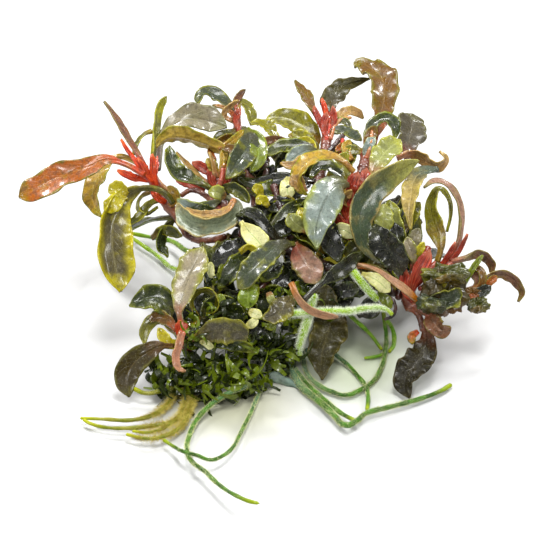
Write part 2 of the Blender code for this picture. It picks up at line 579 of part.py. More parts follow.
def moss():
    """The moss tuft: a lumpy ball cut off flat at the surface it rests on, with a channel for each
    root that passes through it."""
    lump = bmesh.new()
    bmesh.ops.create_icosphere(lump, subdivisions=2, radius=1.0)
    for vert in lump.verts:
        x, y, z = vert.co
        lumps = math.sin(5 * x + 1) * math.sin(4 * y) + math.sin(6 * z + 3 * x)
        vert.co *= 1 + MOSS_LUMPS * lumps / 2
        vert.co = Vector(MOSS_MIDDLE) + Vector(c * s for c, s in zip(vert.co, MOSS_SIZE))
        vert.co *= MM
    cut = bmesh.ops.bisect_plane(lump, geom=lump.verts[:] + lump.edges[:] + lump.faces[:],
                                 plane_co=(0, 0, 0), plane_no=(0, 0, -1), clear_outer=True)
    rim = [item for item in cut["geom_cut"] if isinstance(item, bmesh.types.BMEdge)]
    bmesh.ops.contextual_create(lump, geom=rim)
    bmesh.ops.recalc_face_normals(lump, faces=lump.faces)
    mesh = bpy.data.meshes.new("moss")
    lump.to_mesh(mesh)
    lump.free()
    tuft = new_object("moss", mesh)
    tuft.parent = table
    for route, radii in (*FRONT_LEFT_STRANDS, LONG_STRAND, CROSSING_STRAND):
        channel = tube("channel", route, [radius + MOSS_CLEARANCE for radius in radii])
        combine(tuft, [channel], "DIFFERENCE")
    finish(tuft, MOSS_GREEN)


left_crown()
middle_crown()
top_crown()
back_crown()
centre_crown()
right_crown()
front_leaves()
low_crown()
rhizome()
roots()
moss()
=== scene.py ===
import math
import random

import bpy
import numpy as np
from mathutils import Matrix, Vector, noise


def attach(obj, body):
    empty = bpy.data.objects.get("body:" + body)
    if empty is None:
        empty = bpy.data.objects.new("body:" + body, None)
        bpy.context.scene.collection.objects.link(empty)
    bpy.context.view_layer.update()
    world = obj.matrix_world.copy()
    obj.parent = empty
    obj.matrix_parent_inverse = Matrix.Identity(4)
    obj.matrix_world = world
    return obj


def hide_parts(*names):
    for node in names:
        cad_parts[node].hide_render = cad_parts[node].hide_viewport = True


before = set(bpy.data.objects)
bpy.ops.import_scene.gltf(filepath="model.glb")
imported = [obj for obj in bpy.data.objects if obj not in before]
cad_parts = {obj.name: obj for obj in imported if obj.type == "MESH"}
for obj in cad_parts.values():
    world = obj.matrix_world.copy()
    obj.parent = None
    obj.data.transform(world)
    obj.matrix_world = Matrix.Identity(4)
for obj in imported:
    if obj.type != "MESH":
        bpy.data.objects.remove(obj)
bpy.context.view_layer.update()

bpy.ops.object.select_all(action="DESELECT")

# The camera. The clump is seen from 35 degrees above the table it rests on, from 450 mm away.
# Routes are drawn on a sheet square to that look: x runs right and y down, five units to the
# millimetre, and the third number is how many millimetres a place stands in front of the sheet.
MM = 0.001
LOOK_DOWN = math.radians(35)
SHEET_TURN = math.pi / 2 - LOOK_DOWN
SHEET_FOOT = Vector((-0.48, 5.66, 0)) * MM
EYE_DISTANCE = 450.0
SHEET_UNITS = 5.0
SHEET_MIDDLE_X = 266.5
SHEET_GROUND_Y = 325.0
SHEET_FLAT_UP_TO = 20.0
SHEET_CURVE = 0.0137
PICTURE_WIDTH = 106.6
PICTURE_RISE = 11.7
SENSOR_WIDTH = 36.0


def spot(x, y, near):
    """The place of a drawn point in the sheet's own axes: right, up the sheet, toward the eye."""
    rise = (SHEET_GROUND_Y - y) / SHEET_UNITS
    near -= SHEET_CURVE * max(0.0, rise - SHEET_FLAT_UP_TO) ** 2
    shrink = (1 - near / EYE_DISTANCE) * MM
    return Vector(((x - SHEET_MIDDLE_X) / SHEET_UNITS * shrink, rise * shrink, near * MM))


def table_spot(right, back, up):
    """A place in the table's axes, in millimetres, for what grows out of sight."""
    return Vector((right, back, up)) * MM


def linked(name, data):
    """A new object in the scene, holding a mesh, a curve, a lamp or a camera."""
    made = bpy.data.objects.new(name, data)
    bpy.context.scene.collection.objects.link(made)
    return made


toward_eye = Vector((0, -math.cos(LOOK_DOWN), math.sin(LOOK_DOWN)))
camera = linked("camera", bpy.data.cameras.new("camera"))
camera.location = SHEET_FOOT + toward_eye * EYE_DISTANCE * MM
camera.rotation_euler.x = SHEET_TURN + math.atan(PICTURE_RISE / EYE_DISTANCE)
camera.data.sensor_width = SENSOR_WIDTH
camera.data.lens = SENSOR_WIDTH * EYE_DISTANCE / PICTURE_WIDTH
camera.data.clip_start = 0.01
bpy.context.scene.camera = camera

# Leaf finishes. The living leaves are waxy and wet, from near-black green through slate and olive
# to golden tan, with a midrib, slanting side veins, an edge of another colour, fine speckles and
# blotches. The petiole's red runs a little way into the blade.


class Wire:
    """A number inside a material, so that shader maths reads as plain arithmetic."""

    def __init__(self, finish, socket):
        self.finish = finish
        self.socket = socket

    def maths(self, operation, *values):
        return self.finish.node("ShaderNodeMath", dict(enumerate(values)), operation=operation)[0]

    def __add__(self, other):
        return self.maths("ADD", self, other)

    def __sub__(self, other):
        return self.maths("SUBTRACT", self, other)

    def __rsub__(self, other):
        return self.maths("SUBTRACT", other, self)

    def __mul__(self, other):
        return self.maths("MULTIPLY", self, other)

    def __abs__(self):
        return self.maths("ABSOLUTE", self)

    def fraction(self):
        return self.maths("FRACT", self)

    def ramp(self, low, high, bottom=0.0, top=1.0):
        """Rises smoothly from bottom to top while the number goes from low to high."""
        values = {"Value": self, "From Min": low, "From Max": high, "To Min": bottom, "To Max": top}
        return self.finish.node("ShaderNodeMapRange", values, interpolation_type="SMOOTHSTEP")[0]

    __radd__ = __add__
    __rmul__ = __mul__


class Finish:
    """A material built up from nodes, ending in one shader."""

    def __init__(self, name):
        self.material = bpy.data.materials.new(name)
        self.material.use_nodes = True
        self.tree = self.material.node_tree
        self.shader = self.tree.nodes["Principled BSDF"]

    def feed(self, socket, value):
        if isinstance(value, Wire):
            self.tree.links.new(value.socket, socket)
        else:
            socket.default_value = value

    def node(self, kind, inputs=None, **settings):
        made = self.tree.nodes.new(kind)
        for key, value in settings.items():
            setattr(made, key, value)
        for key, value in (inputs or {}).items():
            self.feed(made.inputs[key], value)
        return [Wire(self, socket) for socket in made.outputs if socket.enabled]

    def mix(self, amount, first, second, blend="MIX"):
        made = self.tree.nodes.new("ShaderNodeMix")
        made.data_type = "RGBA"
        made.blend_type = blend
        self.feed(made.inputs[0], amount)
        self.feed(made.inputs[6], first)
        self.feed(made.inputs[7], second)
        return Wire(self, made.outputs[2])

    def place(self):
        return self.node("ShaderNodeTexCoord")[3]

    def clouds(self, scale, detail):
        values = {"Vector": self.place(), "Scale": scale, "Detail": detail}
        return self.node("ShaderNodeTexNoise", values)[0]

    def leaf_map(self):
        """The map of a leaf or a cord, then how far along it and how far across it a place is."""
        both = self.node("ShaderNodeUVMap", uv_map=LEAF_UV)[0]
        along, across, _ = self.node("ShaderNodeSeparateXYZ", {0: both})
        return both, along, across

    def bumps(self, height, distance):
        return self.node("ShaderNodeBump", {"Height": height, "Distance": distance})[0]

    def wear(self, **sockets):
        for key, value in sockets.items():
            self.feed(self.shader.inputs[key.replace("_", " ")], value)
        return self.material


def paint(code):
    """A colour from its usual web code, as linear light."""
    parts = [int(code[start:start + 2], 16) / 255 for start in (1, 3, 5)]
    linear = [((part + 0.055) / 1.055) ** 2.4 if part > 0.04 else part / 12.92 for part in parts]
    return (*linear, 1.0)


LEAF_UV = "leaf"
SIDE_VEINS = 15
VEIN_SLANT = 3.2
DAPPLE_SHADE = (0.34, 0.33, 0.3, 1.0)
SPECKLE_SHADE = (0.3, 0.3, 0.28, 1.0)
SPECKLE_LIGHT = paint("#c8c49c")
SHEATH_SHADE = (0.4, 0.3, 0.28, 1.0)


def leaf_finish(name, stalk, middle, margin, under, rib, stalk_end=0.2, edge=0.74, mottle=0.6,
                tip=None, gloss=1.0):
    """A leaf's skin: five colours, then where the petiole's ends and the margin's begins."""
    finish = Finish(name)
    _, along, across = finish.leaf_map()
    off_rib = abs(across * 2 - 1)
    upper = finish.node("ShaderNodeAttribute", attribute_name="upper")[2]
    clouds = finish.clouds(330, 3)
    dapple = finish.clouds(1100, 4)
    speckle = finish.clouds(3600, 2)
    blade = along + (clouds - 0.5) * 0.3
    colour = finish.mix(blade.ramp(stalk_end * 0.5, stalk_end + 0.2), paint(stalk), paint(middle))
    at_edge = (off_rib + (clouds - 0.5) * 0.7 + (dapple - 0.5) * 0.3).ramp(edge, 0.98)
    at_edge = at_edge * along.ramp(stalk_end, stalk_end + 0.2)
    at_tip = (along + (clouds - 0.5) * 0.3).ramp(0.62 if tip else 0.86, 1.0)
    slant = (along * SIDE_VEINS - off_rib * VEIN_SLANT + clouds * 1.6).fraction()
    vein = abs(slant - 0.5).ramp(0.0, 0.13, 1.0, 0.0) * off_rib.ramp(0.9, 0.4)
    on_rib = off_rib.ramp(0.03, 0.1, 1.0, 0.0) * along.ramp(0.98, 0.8)
    colour = finish.mix(clouds.ramp(0.5, 0.68) * mottle * 0.7, colour, paint(margin))
    colour = finish.mix(vein * 0.08, colour, paint(rib))
    colour = finish.mix(on_rib * 0.5, colour, paint(rib))
    below = finish.mix(on_rib * 0.4 + vein * 0.12, paint(under), paint(rib))
    below = finish.mix(along.ramp(0.0, stalk_end), paint(stalk), below)
    colour = finish.mix(upper.ramp(0.35, 0.65), below, colour)
    colour = finish.mix(at_edge * 0.85, colour, paint(margin))
    colour = finish.mix(at_tip * (0.9 if tip else 0.6), colour, paint(tip or margin))
    shade = dapple.ramp(0.48, 0.62) * mottle
    colour = finish.mix(shade, colour, DAPPLE_SHADE, blend="MULTIPLY")
    colour = finish.mix(speckle.ramp(0.56, 0.68) * 0.45, colour, SPECKLE_SHADE, blend="MULTIPLY")
    colour = finish.mix(speckle.ramp(0.42, 0.32) * 0.12, colour, SPECKLE_LIGHT)
    relief = dapple * 0.3 + clouds * 0.5 + speckle * 0.26 - vein * 0.25 - on_rib * 0.4
    return finish.wear(Base_Color=colour, Roughness=dapple.ramp(0.35, 0.65, 0.24, 0.5),
                       Normal=finish.bumps(relief, 0.0001), Coat_Weight=0.34 * gloss,
                       Coat_Roughness=0.14, Specular_IOR_Level=0.2 + 0.06 * gloss)


def sheath_finish(name, dark, middle, pale):
    """The papery sheath round a young petiole, streaked along its length."""
    finish = Finish(name)
    both, along, _ = finish.leaf_map()
    stretched = finish.node("ShaderNodeMapping", {"Vector": both, "Scale": (2.0, 26.0, 1)})[0]
    fibres = finish.node("ShaderNodeTexNoise", {"Vector": stretched, "Scale": 1.0, "Detail": 3.0})[0]
    clouds = finish.clouds(500, 3)
    colour = finish.mix(fibres.ramp(0.38, 0.58), paint(dark), paint(middle))
    colour = finish.mix((fibres + clouds * 0.4).ramp(0.72, 0.9), colour, paint(pale))
    colour = finish.mix(along.ramp(0.75, 1.0) * 0.7, colour, paint(pale))
    colour = finish.mix(clouds.ramp(0.5, 0.7) * 0.6, colour, SHEATH_SHADE, blend="MULTIPLY")
    return finish.wear(Base_Color=colour, Roughness=clouds.ramp(0.3, 0.7, 0.28, 0.5),
                       Normal=finish.bumps(fibres + clouds * 0.6, 0.0002), Coat_Weight=0.12,
                       Coat_Roughness=0.1, Specular_IOR_Level=0.25)


# Leaves. Each is one blade on its petiole, a fifth of a millimetre thick at the margin and half a
# millimetre along the midrib, folded a little there, wavy at the edges and bent along its own route.
PETIOLE_WIDTH = 1.0
PETIOLE_DEPTH = 0.9
MIDRIB_DEPTH = 0.55
MARGIN_DEPTH = 0.22
TIP_WIDTH = 0.3
LONG_WAVES = 1.6
LEAF_MESH_LENGTH = 20.0


def flat_blank(cells_along, cells_across):
    """A square grid from -1 to 1, which is copied and shaped into each leaf or cord."""
    bpy.ops.mesh.primitive_grid_add(x_subdivisions=cells_along, y_subdivisions=cells_across, size=2)
    bpy.context.object.data.uv_layers[0].name = LEAF_UV
    return bpy.context.object


fine_blank = flat_blank(52, 16)
small_blank = flat_blank(22, 8)


def places_of(mesh):
    """The places of a mesh's points, one to a row."""
    spots = np.empty(len(mesh.vertices) * 3)
    mesh.vertices.foreach_get("co", spots)
    return spots.reshape(-1, 3)


def put_places(mesh, spots):
    mesh.vertices.foreach_set("co", spots.ravel())


def smooth_step(value, low, high):
    """Rises from 0 to 1, without a corner, while the value goes from low to high."""
    share = np.clip((value - low) / (high - low), 0, 1)
    return share * share * (3 - 2 * share)


def shape_blade(mesh, length, width, stalk, widest, fold, wave, curl, blunt, ragged, chance):
    """Turns a blank into a flat leaf along X, upper face to +Z, and says how thick each point is."""
    spots = places_of(mesh)
    along = (spots[:, 0] + 1) / 2
    across = spots[:, 1]
    narrow = PETIOLE_WIDTH / 2
    rise = np.sin(math.pi / 2 * np.clip((along - stalk) / (widest - stalk), 0, 1)) ** 0.8
    fall = np.clip((along - widest) / (1 - widest), 0, 1)
    half = np.where(along < widest, narrow + (width / 2 - narrow) * rise,
                    TIP_WIDTH / 2 + (width - TIP_WIDTH) / 2 * (1 - fall ** blunt))
    bladed = smooth_step(along, stalk, stalk + 0.2)
    tapered = 1 - smooth_step(along, 0.9, 1.0)
    sides = np.where(across > 0, 0.0, 2.4)
    for most, few, many in ((0.06, 1.6, 2.8), (0.045, 4.0, 7.0)):
        turns = chance.uniform(few, many)
        notches = np.sin(2 * math.pi * turns * along + chance.uniform(0, 6) + sides)
        half *= 1 + most * ragged * bladed * notches
    turn = 2 * math.pi * LONG_WAVES * along + np.where(across > 0, 0.0, 2.0)
    ripples = chance.uniform(4.5, 6.5)
    phase = chance.uniform(0, 6) + np.where(across > 0, 0.0, 2.6)
    fine = np.sin(2 * math.pi * ripples * along + phase) * 0.8 * wave * bladed * tapered
    edge = np.abs(across)
    curls = np.where(across > 0, curl[0], curl[1]) * smooth_step(edge, 0.45, 1.0) * bladed
    high = half * (fold * edge ** 1.2 + wave * np.sin(turn) * edge + fine * edge ** 2.5 + curls)
    quilted = np.sin(2 * math.pi * (along * SIDE_VEINS - edge * VEIN_SLANT))
    puckers = quilted * 0.05 * bladed * edge * (1 - edge)
    high += puckers * 2 - 0.12 * bladed * np.exp(-(across / 0.12) ** 2)
    flat_x, flat_y = along * length, across * half
    for swell, tight in ((0.035, 1.1), (0.012, 2.3)):
        first, second = chance.uniform(0, 6), chance.uniform(0, 6)
        skew = chance.uniform(-0.3, 0.3)
        high += swell * bladed * (np.sin(tight * 0.5 * flat_x + first + skew * flat_y)
                                  * np.sin(tight * 1.6 * flat_y + second + skew * flat_x))
    inward = 1 - 0.35 * np.abs(curls) * edge
    wander = chance.uniform(-1, 1) * 0.06 * np.sin(math.pi * along * 2) * width
    spots[:, 0] = flat_x + fine * edge * width * 0.12
    spots[:, 1] = flat_y * inward + wander
    spots[:, 2] = high
    put_places(mesh, spots * MM)
    blade_depth = MARGIN_DEPTH + (MIDRIB_DEPTH - MARGIN_DEPTH) * np.exp(-(across / 0.3) ** 2)
    stalk_depth = PETIOLE_DEPTH * (1 - 0.65 * across ** 2)
    return stalk_depth + (blade_depth - stalk_depth) * bladed


def route_guide(route, drawn):
    """A smooth curve object along a route on the sheet, or on the table's axes."""
    data = bpy.data.curves.new("route", "CURVE")
    data.dimensions = "3D"
    data.twist_mode = "Z_UP"
    data.use_stretch = True
    data.use_deform_bounds = True
    spline = data.splines.new("BEZIER")
    spline.bezier_points.add(len(route) - 1)
    for point, place in zip(spline.bezier_points, route):
        point.co = spot(*place) if drawn else table_spot(*place)
        point.handle_left_type = "AUTO"
        point.handle_right_type = "AUTO"
    guide = linked("route", data)
    guide.location = SHEET_FOOT
    guide.rotation_euler.x = SHEET_TURN if drawn else 0.0
    return guide


def share_between(values, share):
    """The value at a share of the way through evenly spaced values."""
    place = share * (len(values) - 1)
    below = min(int(place), len(values) - 2)
    return values[below] + (values[below + 1] - values[below]) * (place - below)


def use_only(piece):
    bpy.ops.object.select_all(action="DESELECT")
    piece.select_set(True)
    bpy.context.view_layer.objects.active = piece


def blank_copy(name, blank):
    """A blank's own copy, alone selected, to be shaped into one leaf or cord."""
    made = linked(name, blank.data.copy())
    use_only(made)
    return made


def bend_along(made, guide):
    """Bends a straight piece along its route, and leaves its place in its mesh."""
    made.location = guide.location
    made.rotation_euler = guide.rotation_euler
    bend = made.modifiers.new("bend", "CURVE")
    bend.object = guide
    bend.deform_axis = "POS_X"
    bpy.ops.object.modifier_apply(modifier="bend")
    bpy.ops.object.transform_apply(location=True, rotation=True, scale=True)
    bpy.data.objects.remove(guide)


def mark_upper(mesh, values):
    """Tells the finish which points are on the upper face."""
    mesh.attributes.new("upper", "FLOAT", "POINT").data.foreach_set("value", values)


def dress(made, finish):
    """Gives the selected piece its finish and smooth shading."""
    made.data.materials.clear()
    made.data.materials.append(finish)
    bpy.ops.object.shade_smooth()


def leaf(name, finish, route, width, roll=0, widest=0.6, stalk=0.12, fold=0.25, wave=0.12,
         curl=(0, 0), blunt=3.0, ragged=1.0, blank=fine_blank, drawn=True):
    """A leaf along its route. Roll is its turn about the route, in degrees: one number, or several
    from foot to tip. Widest and stalk are shares of the way along."""
    chance = random.Random(name + str(route[0]))
    rolls = roll if isinstance(roll, tuple) else (roll, roll)
    guide = route_guide(route, drawn)
    for index, point in enumerate(guide.data.splines[0].bezier_points):
        point.tilt = math.radians(share_between(rolls, index / (len(route) - 1)))
    made = blank_copy(name, blank)
    depths = shape_blade(made.data, LEAF_MESH_LENGTH, width, stalk, widest, fold, wave, curl,
                         blunt, ragged, chance)
    group = made.vertex_groups.new(name="depth")
    for index, depth in enumerate(depths):
        group.add([index], float(depth), "REPLACE")
    # The wall is a millimetre thick, and each point takes its depth as a share of that.
    wall = made.modifiers.new("wall", "SOLIDIFY")
    wall.thickness = 1.0 * MM
    wall.offset = 0.0
    wall.vertex_group = "depth"
    bpy.ops.object.modifier_apply(modifier="wall")
    count = len(depths)
    heights = places_of(made.data)[:, 2]
    first_is_upper = heights[:count].mean() > heights[count:2 * count].mean()
    upper = np.zeros(len(heights))
    upper[:count] = first_is_upper
    upper[count:] = not first_is_upper
    mark_upper(made.data, upper)
    made.vertex_groups.clear()
    bend_along(made, guide)
    dress(made, finish)
    return made


def joined(name, pieces):
    """Several pieces made one, under a new name."""
    use_only(pieces[0])
    for other in pieces:
        other.select_set(True)
    if len(pieces) > 1:
        bpy.ops.object.join()
    pieces[0].name = name
    return pieces[0]


def in_place_of(piece, node):
    """A finished piece that is shown in place of its solid."""
    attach(piece, "root")
    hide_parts(node)


def added(piece):
    """A finished piece that is too fine to have a solid."""
    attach(piece, "root")


def main_leaves(crown, rows):
    """A crown's main leaves: finish, route, width and roll, and at times more of the shape."""
    for number, (finish, route, width, roll, *shape) in enumerate(rows, 1):
        node = f"{crown}_leaf_{number}"
        in_place_of(leaf(node + "_blade", finish, route, width, roll, **dict(*shape)), node)


def young_leaves(name, rows):
    """Small leaves and sheaths of one crown, in rows like those of its main leaves."""
    made = []
    for finish, route, width, roll, *shape in rows:
        made.append(leaf(name, finish, route, width, roll, blank=small_blank, **dict(*shape)))
    added(joined(name, made))


# Stems. Short woody stems, reddish brown, ringed by the scars of old leaves, with the petioles and
# papery pink sheaths of each crown around them.
STEM_RINGS_APART = 1.7
STEM_RING_HEIGHT = 0.14
STEM_LUMPS = 0.05
TABLE_TOP = 0.00002
MERGE_WITHIN = 0.00001

strand_blank = flat_blank(110, 12)


def stem_finish(name, bark, stripe, young):
    """Wet bark in two cloudy colours, with a third where the stem is young, at its start."""
    finish = Finish(name)
    _, along, _ = finish.leaf_map()
    clouds = finish.clouds(420, 3)
    fibres = finish.clouds(1500, 2)
    colour = finish.mix(clouds.ramp(0.35, 0.65), paint(bark), paint(stripe))
    colour = finish.mix(along.ramp(0.35, 0.0) * 0.8, colour, paint(young))
    colour = finish.mix(fibres.ramp(0.5, 0.7) * 0.5, colour, finish.mix(0.6, colour, (0, 0, 0, 1)))
    return finish.wear(Base_Color=colour, Roughness=clouds.ramp(0.3, 0.7, 0.25, 0.5),
                       Normal=finish.bumps(fibres + clouds, 0.00015), Coat_Weight=0.25,
                       Coat_Roughness=0.08)


def settle(piece):
    """Flattens a piece where it rests, so that nothing goes below the table."""
    spots = places_of(piece.data)
    spots[:, 2] = np.maximum(spots[:, 2], TABLE_TOP)
    put_places(piece.data, spots)
    piece.data.update()


def face_outwards(merge_within=0.0):
    """Turns the active piece's faces outwards, with doubled points merged first if need be."""
    bpy.ops.object.mode_set(mode="EDIT")
    bpy.ops.mesh.select_all(action="SELECT")
    if merge_within:
        bpy.ops.mesh.remove_doubles(threshold=merge_within)
    bpy.ops.mesh.normals_make_consistent(inside=False)
    bpy.ops.object.mode_set(mode="OBJECT")


def strand(name, finish, route, radii, rings=0.0, lumps=0.07, hairs=()):
    """A round stem or root along its route. Hairs are (coat, count per mm, shortest, longest,
    share of the way along where they end)."""
    chance = random.Random(name + str(route[0]))
    guide = route_guide(route, drawn=True)
    length = guide.data.splines[0].calc_length() / MM
    made = blank_copy(name, strand_blank)
    spots = places_of(made.data)
    along = (spots[:, 0] + 1) / 2
    around = (spots[:, 1] + 1) * math.pi
    stations = np.linspace(0, 1, len(radii))
    radius = np.interp(along, stations, radii)
    phase = chance.uniform(0, 6)
    radius *= 1 + lumps * (np.sin(along * length * 1.9 + phase + 2 * np.sin(around))
                           + np.sin(along * length * 0.8 + 3 * np.cos(around)))
    scars = np.maximum(0, np.sin(2 * math.pi * along * length / STEM_RINGS_APART)) ** 6
    radius *= 1 + rings * scars
    ends = np.minimum(along, 1 - along) * length / np.interp(along, stations, radii)
    radius *= np.sqrt(1 - (1 - np.clip(ends, 0, 1)) ** 2)
    spots[:, 0] = along * length
    spots[:, 1] = radius * np.cos(around)
    spots[:, 2] = radius * np.sin(around)
    put_places(made.data, spots * MM)
    face_outwards(MERGE_WITHIN)
    dress(made, finish)
    if hairs:
        coat = hair_coat(chance, length, stations, radii, hairs)
        coat.select_set(True)
        bpy.context.view_layer.objects.active = made
        bpy.ops.object.join()
    bend_along(made, guide)
    settle(made)
    return made


def stem_piece(node, strands):
    """A crown's stem and bare stalks, in place of its solid."""
    made = [strand(node + "_part", finish, route, radii, STEM_RING_HEIGHT, STEM_LUMPS)
            for finish, route, radii in strands]
    in_place_of(joined(node + "_bark", made), node)


# The left crown: a bright red heart of petioles, with an orange leaf that points left, one with a
# yellow margin hanging in front, and young leaves round the heart. All grow from one leaning stem.
ORANGE = leaf_finish("orange_brown_leaf", "#b83c18", "#984e06", "#7c7008", "#a86e2c", "#b07434", edge=0.8)
MAUVE = leaf_finish("mauve_leaf", "#94432c", "#6c462e", "#786a2a", "#8e7054", "#8c6e50", gloss=0.7)
SHADED = leaf_finish("yellow_margin_leaf", "#54500c", "#504826", "#b8ac02", "#6c6824", "#7c7448",
                     stalk_end=0.22, edge=0.3, mottle=0.5)
HEATHER = leaf_finish("heather_leaf", "#54443c", "#7c745a", "#6c6c38", "#8c8668", "#605840", edge=0.8,
                      mottle=0.45)
GOLDEN = leaf_finish("golden_leaf", "#98682c", "#a48224", "#8c880c", "#b4983c", "#c0a858")
KHAKI = leaf_finish("khaki_leaf", "#7c6010", "#66640a", "#989606", "#968a38", "#a49a48")
OLIVE = leaf_finish("olive_leaf", "#5c4810", "#3a3c03", "#969206", "#6c6820", "#6c6c24")
GREEN = leaf_finish("green_leaf", "#46400c", "#222c03", "#767c05", "#505c18", "#445014")
SCARLET = sheath_finish("scarlet_sheath", "#861604", "#e4460e", "#f47c40")
YELLOW = leaf_finish("yellow_edge_leaf", "#8a7a0c", "#a09408", "#b8b010", "#aca22a", "#b4a83c",
                     mottle=0.35)
RED_STEM = stem_finish("red_stem", "#4c2014", "#8a5034", "#982e1c")
ORANGE_STALK = stem_finish("orange_stalk", "#a8683a", "#b88a58", "#a04a2c")
SCARLET_STALK = stem_finish("scarlet_stalk", "#b82c10", "#cc5028", "#c03010")

main_leaves("left", [
    (ORANGE, [(145, 175, 3.5), (125, 163, 4), (105, 159, 4), (87, 167, 5), (60, 178, 5), (36, 190, 6),
     (18, 197, 6)], 5.7, (30, 15), dict(widest=0.78, stalk=0.22, wave=0.12, blunt=4.5)),
    (MAUVE, [(146, 170, 1), (138, 155, 1.5), (129, 141, 1), (112, 113, 0), (104, 101, 0)], 2.2, (50, 60),
     dict(stalk=0.15, ragged=0.3, wave=0.06)),
    (HEATHER, [(158, 170, -1), (160, 155, -2), (163, 140, -3), (175, 124, -3), (190, 117, -3),
     (210, 120, -4), (227, 127, -4)], 5.8, (-40, -20), dict(widest=0.75, stalk=0.3)),
    (SHADED, [(173, 203, 3.5), (164, 192, 5), (150, 187, 6), (133, 190, 7), (121, 200, 8), (115, 215, 9),
     (113, 235, 10), (116, 260, 11), (121, 293, 12)], 8.0, (-40, -25, -15, -10),
     dict(widest=0.78, stalk=0.25, wave=0.16, blunt=2.6, curl=(0.0, 0.5))),
    (GOLDEN, [(143, 167, -2), (131, 160, -3), (117, 157, -3), (106, 165, -3), (97, 178, -2),
     (92, 192, -1), (95, 208, 1), (101, 217, 2)], 4.2, (40, 30), dict(stalk=0.3)),
])
young_leaves("left_young", [
    (KHAKI, [(152, 179, 0), (152, 165, -2.5), (154, 145, -4), (157, 120, -5), (160, 106, -5),
     (166, 96, -5)], 2.0, (60, 30), dict(stalk=0.4, widest=0.85)),
    (SCARLET, [(152, 180, 1), (135, 178, 0.5), (117, 170, 0)], 1.7, (40, 20)),
    (OLIVE, [(163, 198, 1), (150, 204, 0), (140, 216, -1), (125, 226, -2)], 2.2, 40),
    (GREEN, [(176, 216, 2), (166, 228, 1), (160, 244, 1), (168, 257, 2)], 2.6, (-30, -50)),
    (GREEN, [(-18.6, 10.8, 18.6), (-24, 15, 15), (-30, 18, 9), (-34, 19, 3)], 4.2, 0, dict(drawn=False)),
    (SCARLET, [(150, 180, 2), (138, 164, 2.4), (127, 150, 2), (121, 139, 1.5)], 0.9, 30, dict(stalk=0.3)),
    (KHAKI, [(152, 131, -4.5), (143, 135, -4.5), (136, 146, -4), (133, 154, -3)], 1.5, 60,
     dict(stalk=0.05)),
    (YELLOW, [(127, 194, 8), (118, 189, 9.4), (108, 192, 9.6)], 3.2, 10),
    (YELLOW, [(126, 198, 8.6), (114, 203, 10.4), (104, 211, 10.4)], 3.4, 10),
    (KHAKI, [(150, 192, 0.5), (140, 198, -1), (138, 207, -1), (145, 213, -1), (158, 207, -0.5)], 1.4, 70),
    (OLIVE, [(152, 238, 0), (165, 230, 1.5), (182, 236, 3)], 2.2, 10),
    (SCARLET, [(154, 184, 1.6), (146, 172, 3), (138, 158, 2.8)], 1.7, 50),
    (SCARLET, [(156, 186, 1.6), (153, 170, 2.5), (152, 154, 1.5)], 1.5, (20, 30)),
    (SCARLET, [(165, 202, 2.2), (156, 196, 3.4), (152, 186, 3)], 1.6, (20, 30)),
    (GOLDEN, [(170, 206, 2.6), (176, 196, 3.6), (168, 186, 3)], 2.0, (-20, -30)),
])
stem_piece("left_stem", [
    (RED_STEM, [(151, 177, 0.5), (163, 198, 1), (179, 220, 2), (192, 238, 3), (212, 240, 4.5),
     (227, 236, 5.2)], (1.1, 1.1, 0.7, 0.6)),
    (ORANGE_STALK, [(152, 166, -1), (158, 180, -0.5), (168, 190, 0.5), (178, 196, 1.5)],
     (0.35, 0.4, 0.3)),
    (SCARLET_STALK, [(152, 180, 0.5), (156, 170, -0.5), (158, 156, -2)], (0.5, 0.4)),
    (SCARLET_STALK, [(151, 179, 1), (144, 170, 1.6), (137, 157, 1.6)], (0.55, 0.5)),
    (SCARLET_STALK, [(151, 180, 1.4), (143, 175, 2.2), (130, 167, 2.6)], (0.5, 0.4)),
])

# The middle crown: golden, green and slate leaves that curl round a heart of pink sheaths, on a
# short brown stem with a side shoot.
SLATE = leaf_finish("slate_leaf", "#38361c", "#343c26", "#828214", "#64683e", "#485440")
RIMMED = leaf_finish("tan_rimmed_leaf", "#5c5c40", "#848e72", "#b8a058", "#848c70", "#5c684c", edge=0.78,
                     mottle=0.4)
BROWN = leaf_finish("tan_brown_leaf", "#8f4a20", "#634208", "#746c08", "#826020", "#84642c", mottle=0.4)
# Pale grey leaves: the bluish grey of the blade is partly the leaf's own colour and partly a painted
# sheen.
PALE_PAINTED_SHEEN = leaf_finish("pale_grey_leaf", "#5c5c38", "#76827a", "#90983c", "#8c9068", "#3a4434", edge=0.72,
                   mottle=0.35)
SAGE = leaf_finish("sage_leaf", "#8c6434", "#868a48", "#a0a02c", "#94984c", "#a8ac6c", mottle=0.4)
PINK = sheath_finish("pink_sheath", "#641404", "#a83014", "#cc7a58")
BEIGE = leaf_finish("beige_leaf", "#a46840", "#987440", "#a88c44", "#b0905c", "#c0a070", gloss=0.6)
BROWN_STEM = stem_finish("brown_stem", "#3f1d14", "#7c4a34", "#8a3a26")
PINK_STALK = stem_finish("pink_stalk", "#9c3420", "#ac5c44", "#902818")

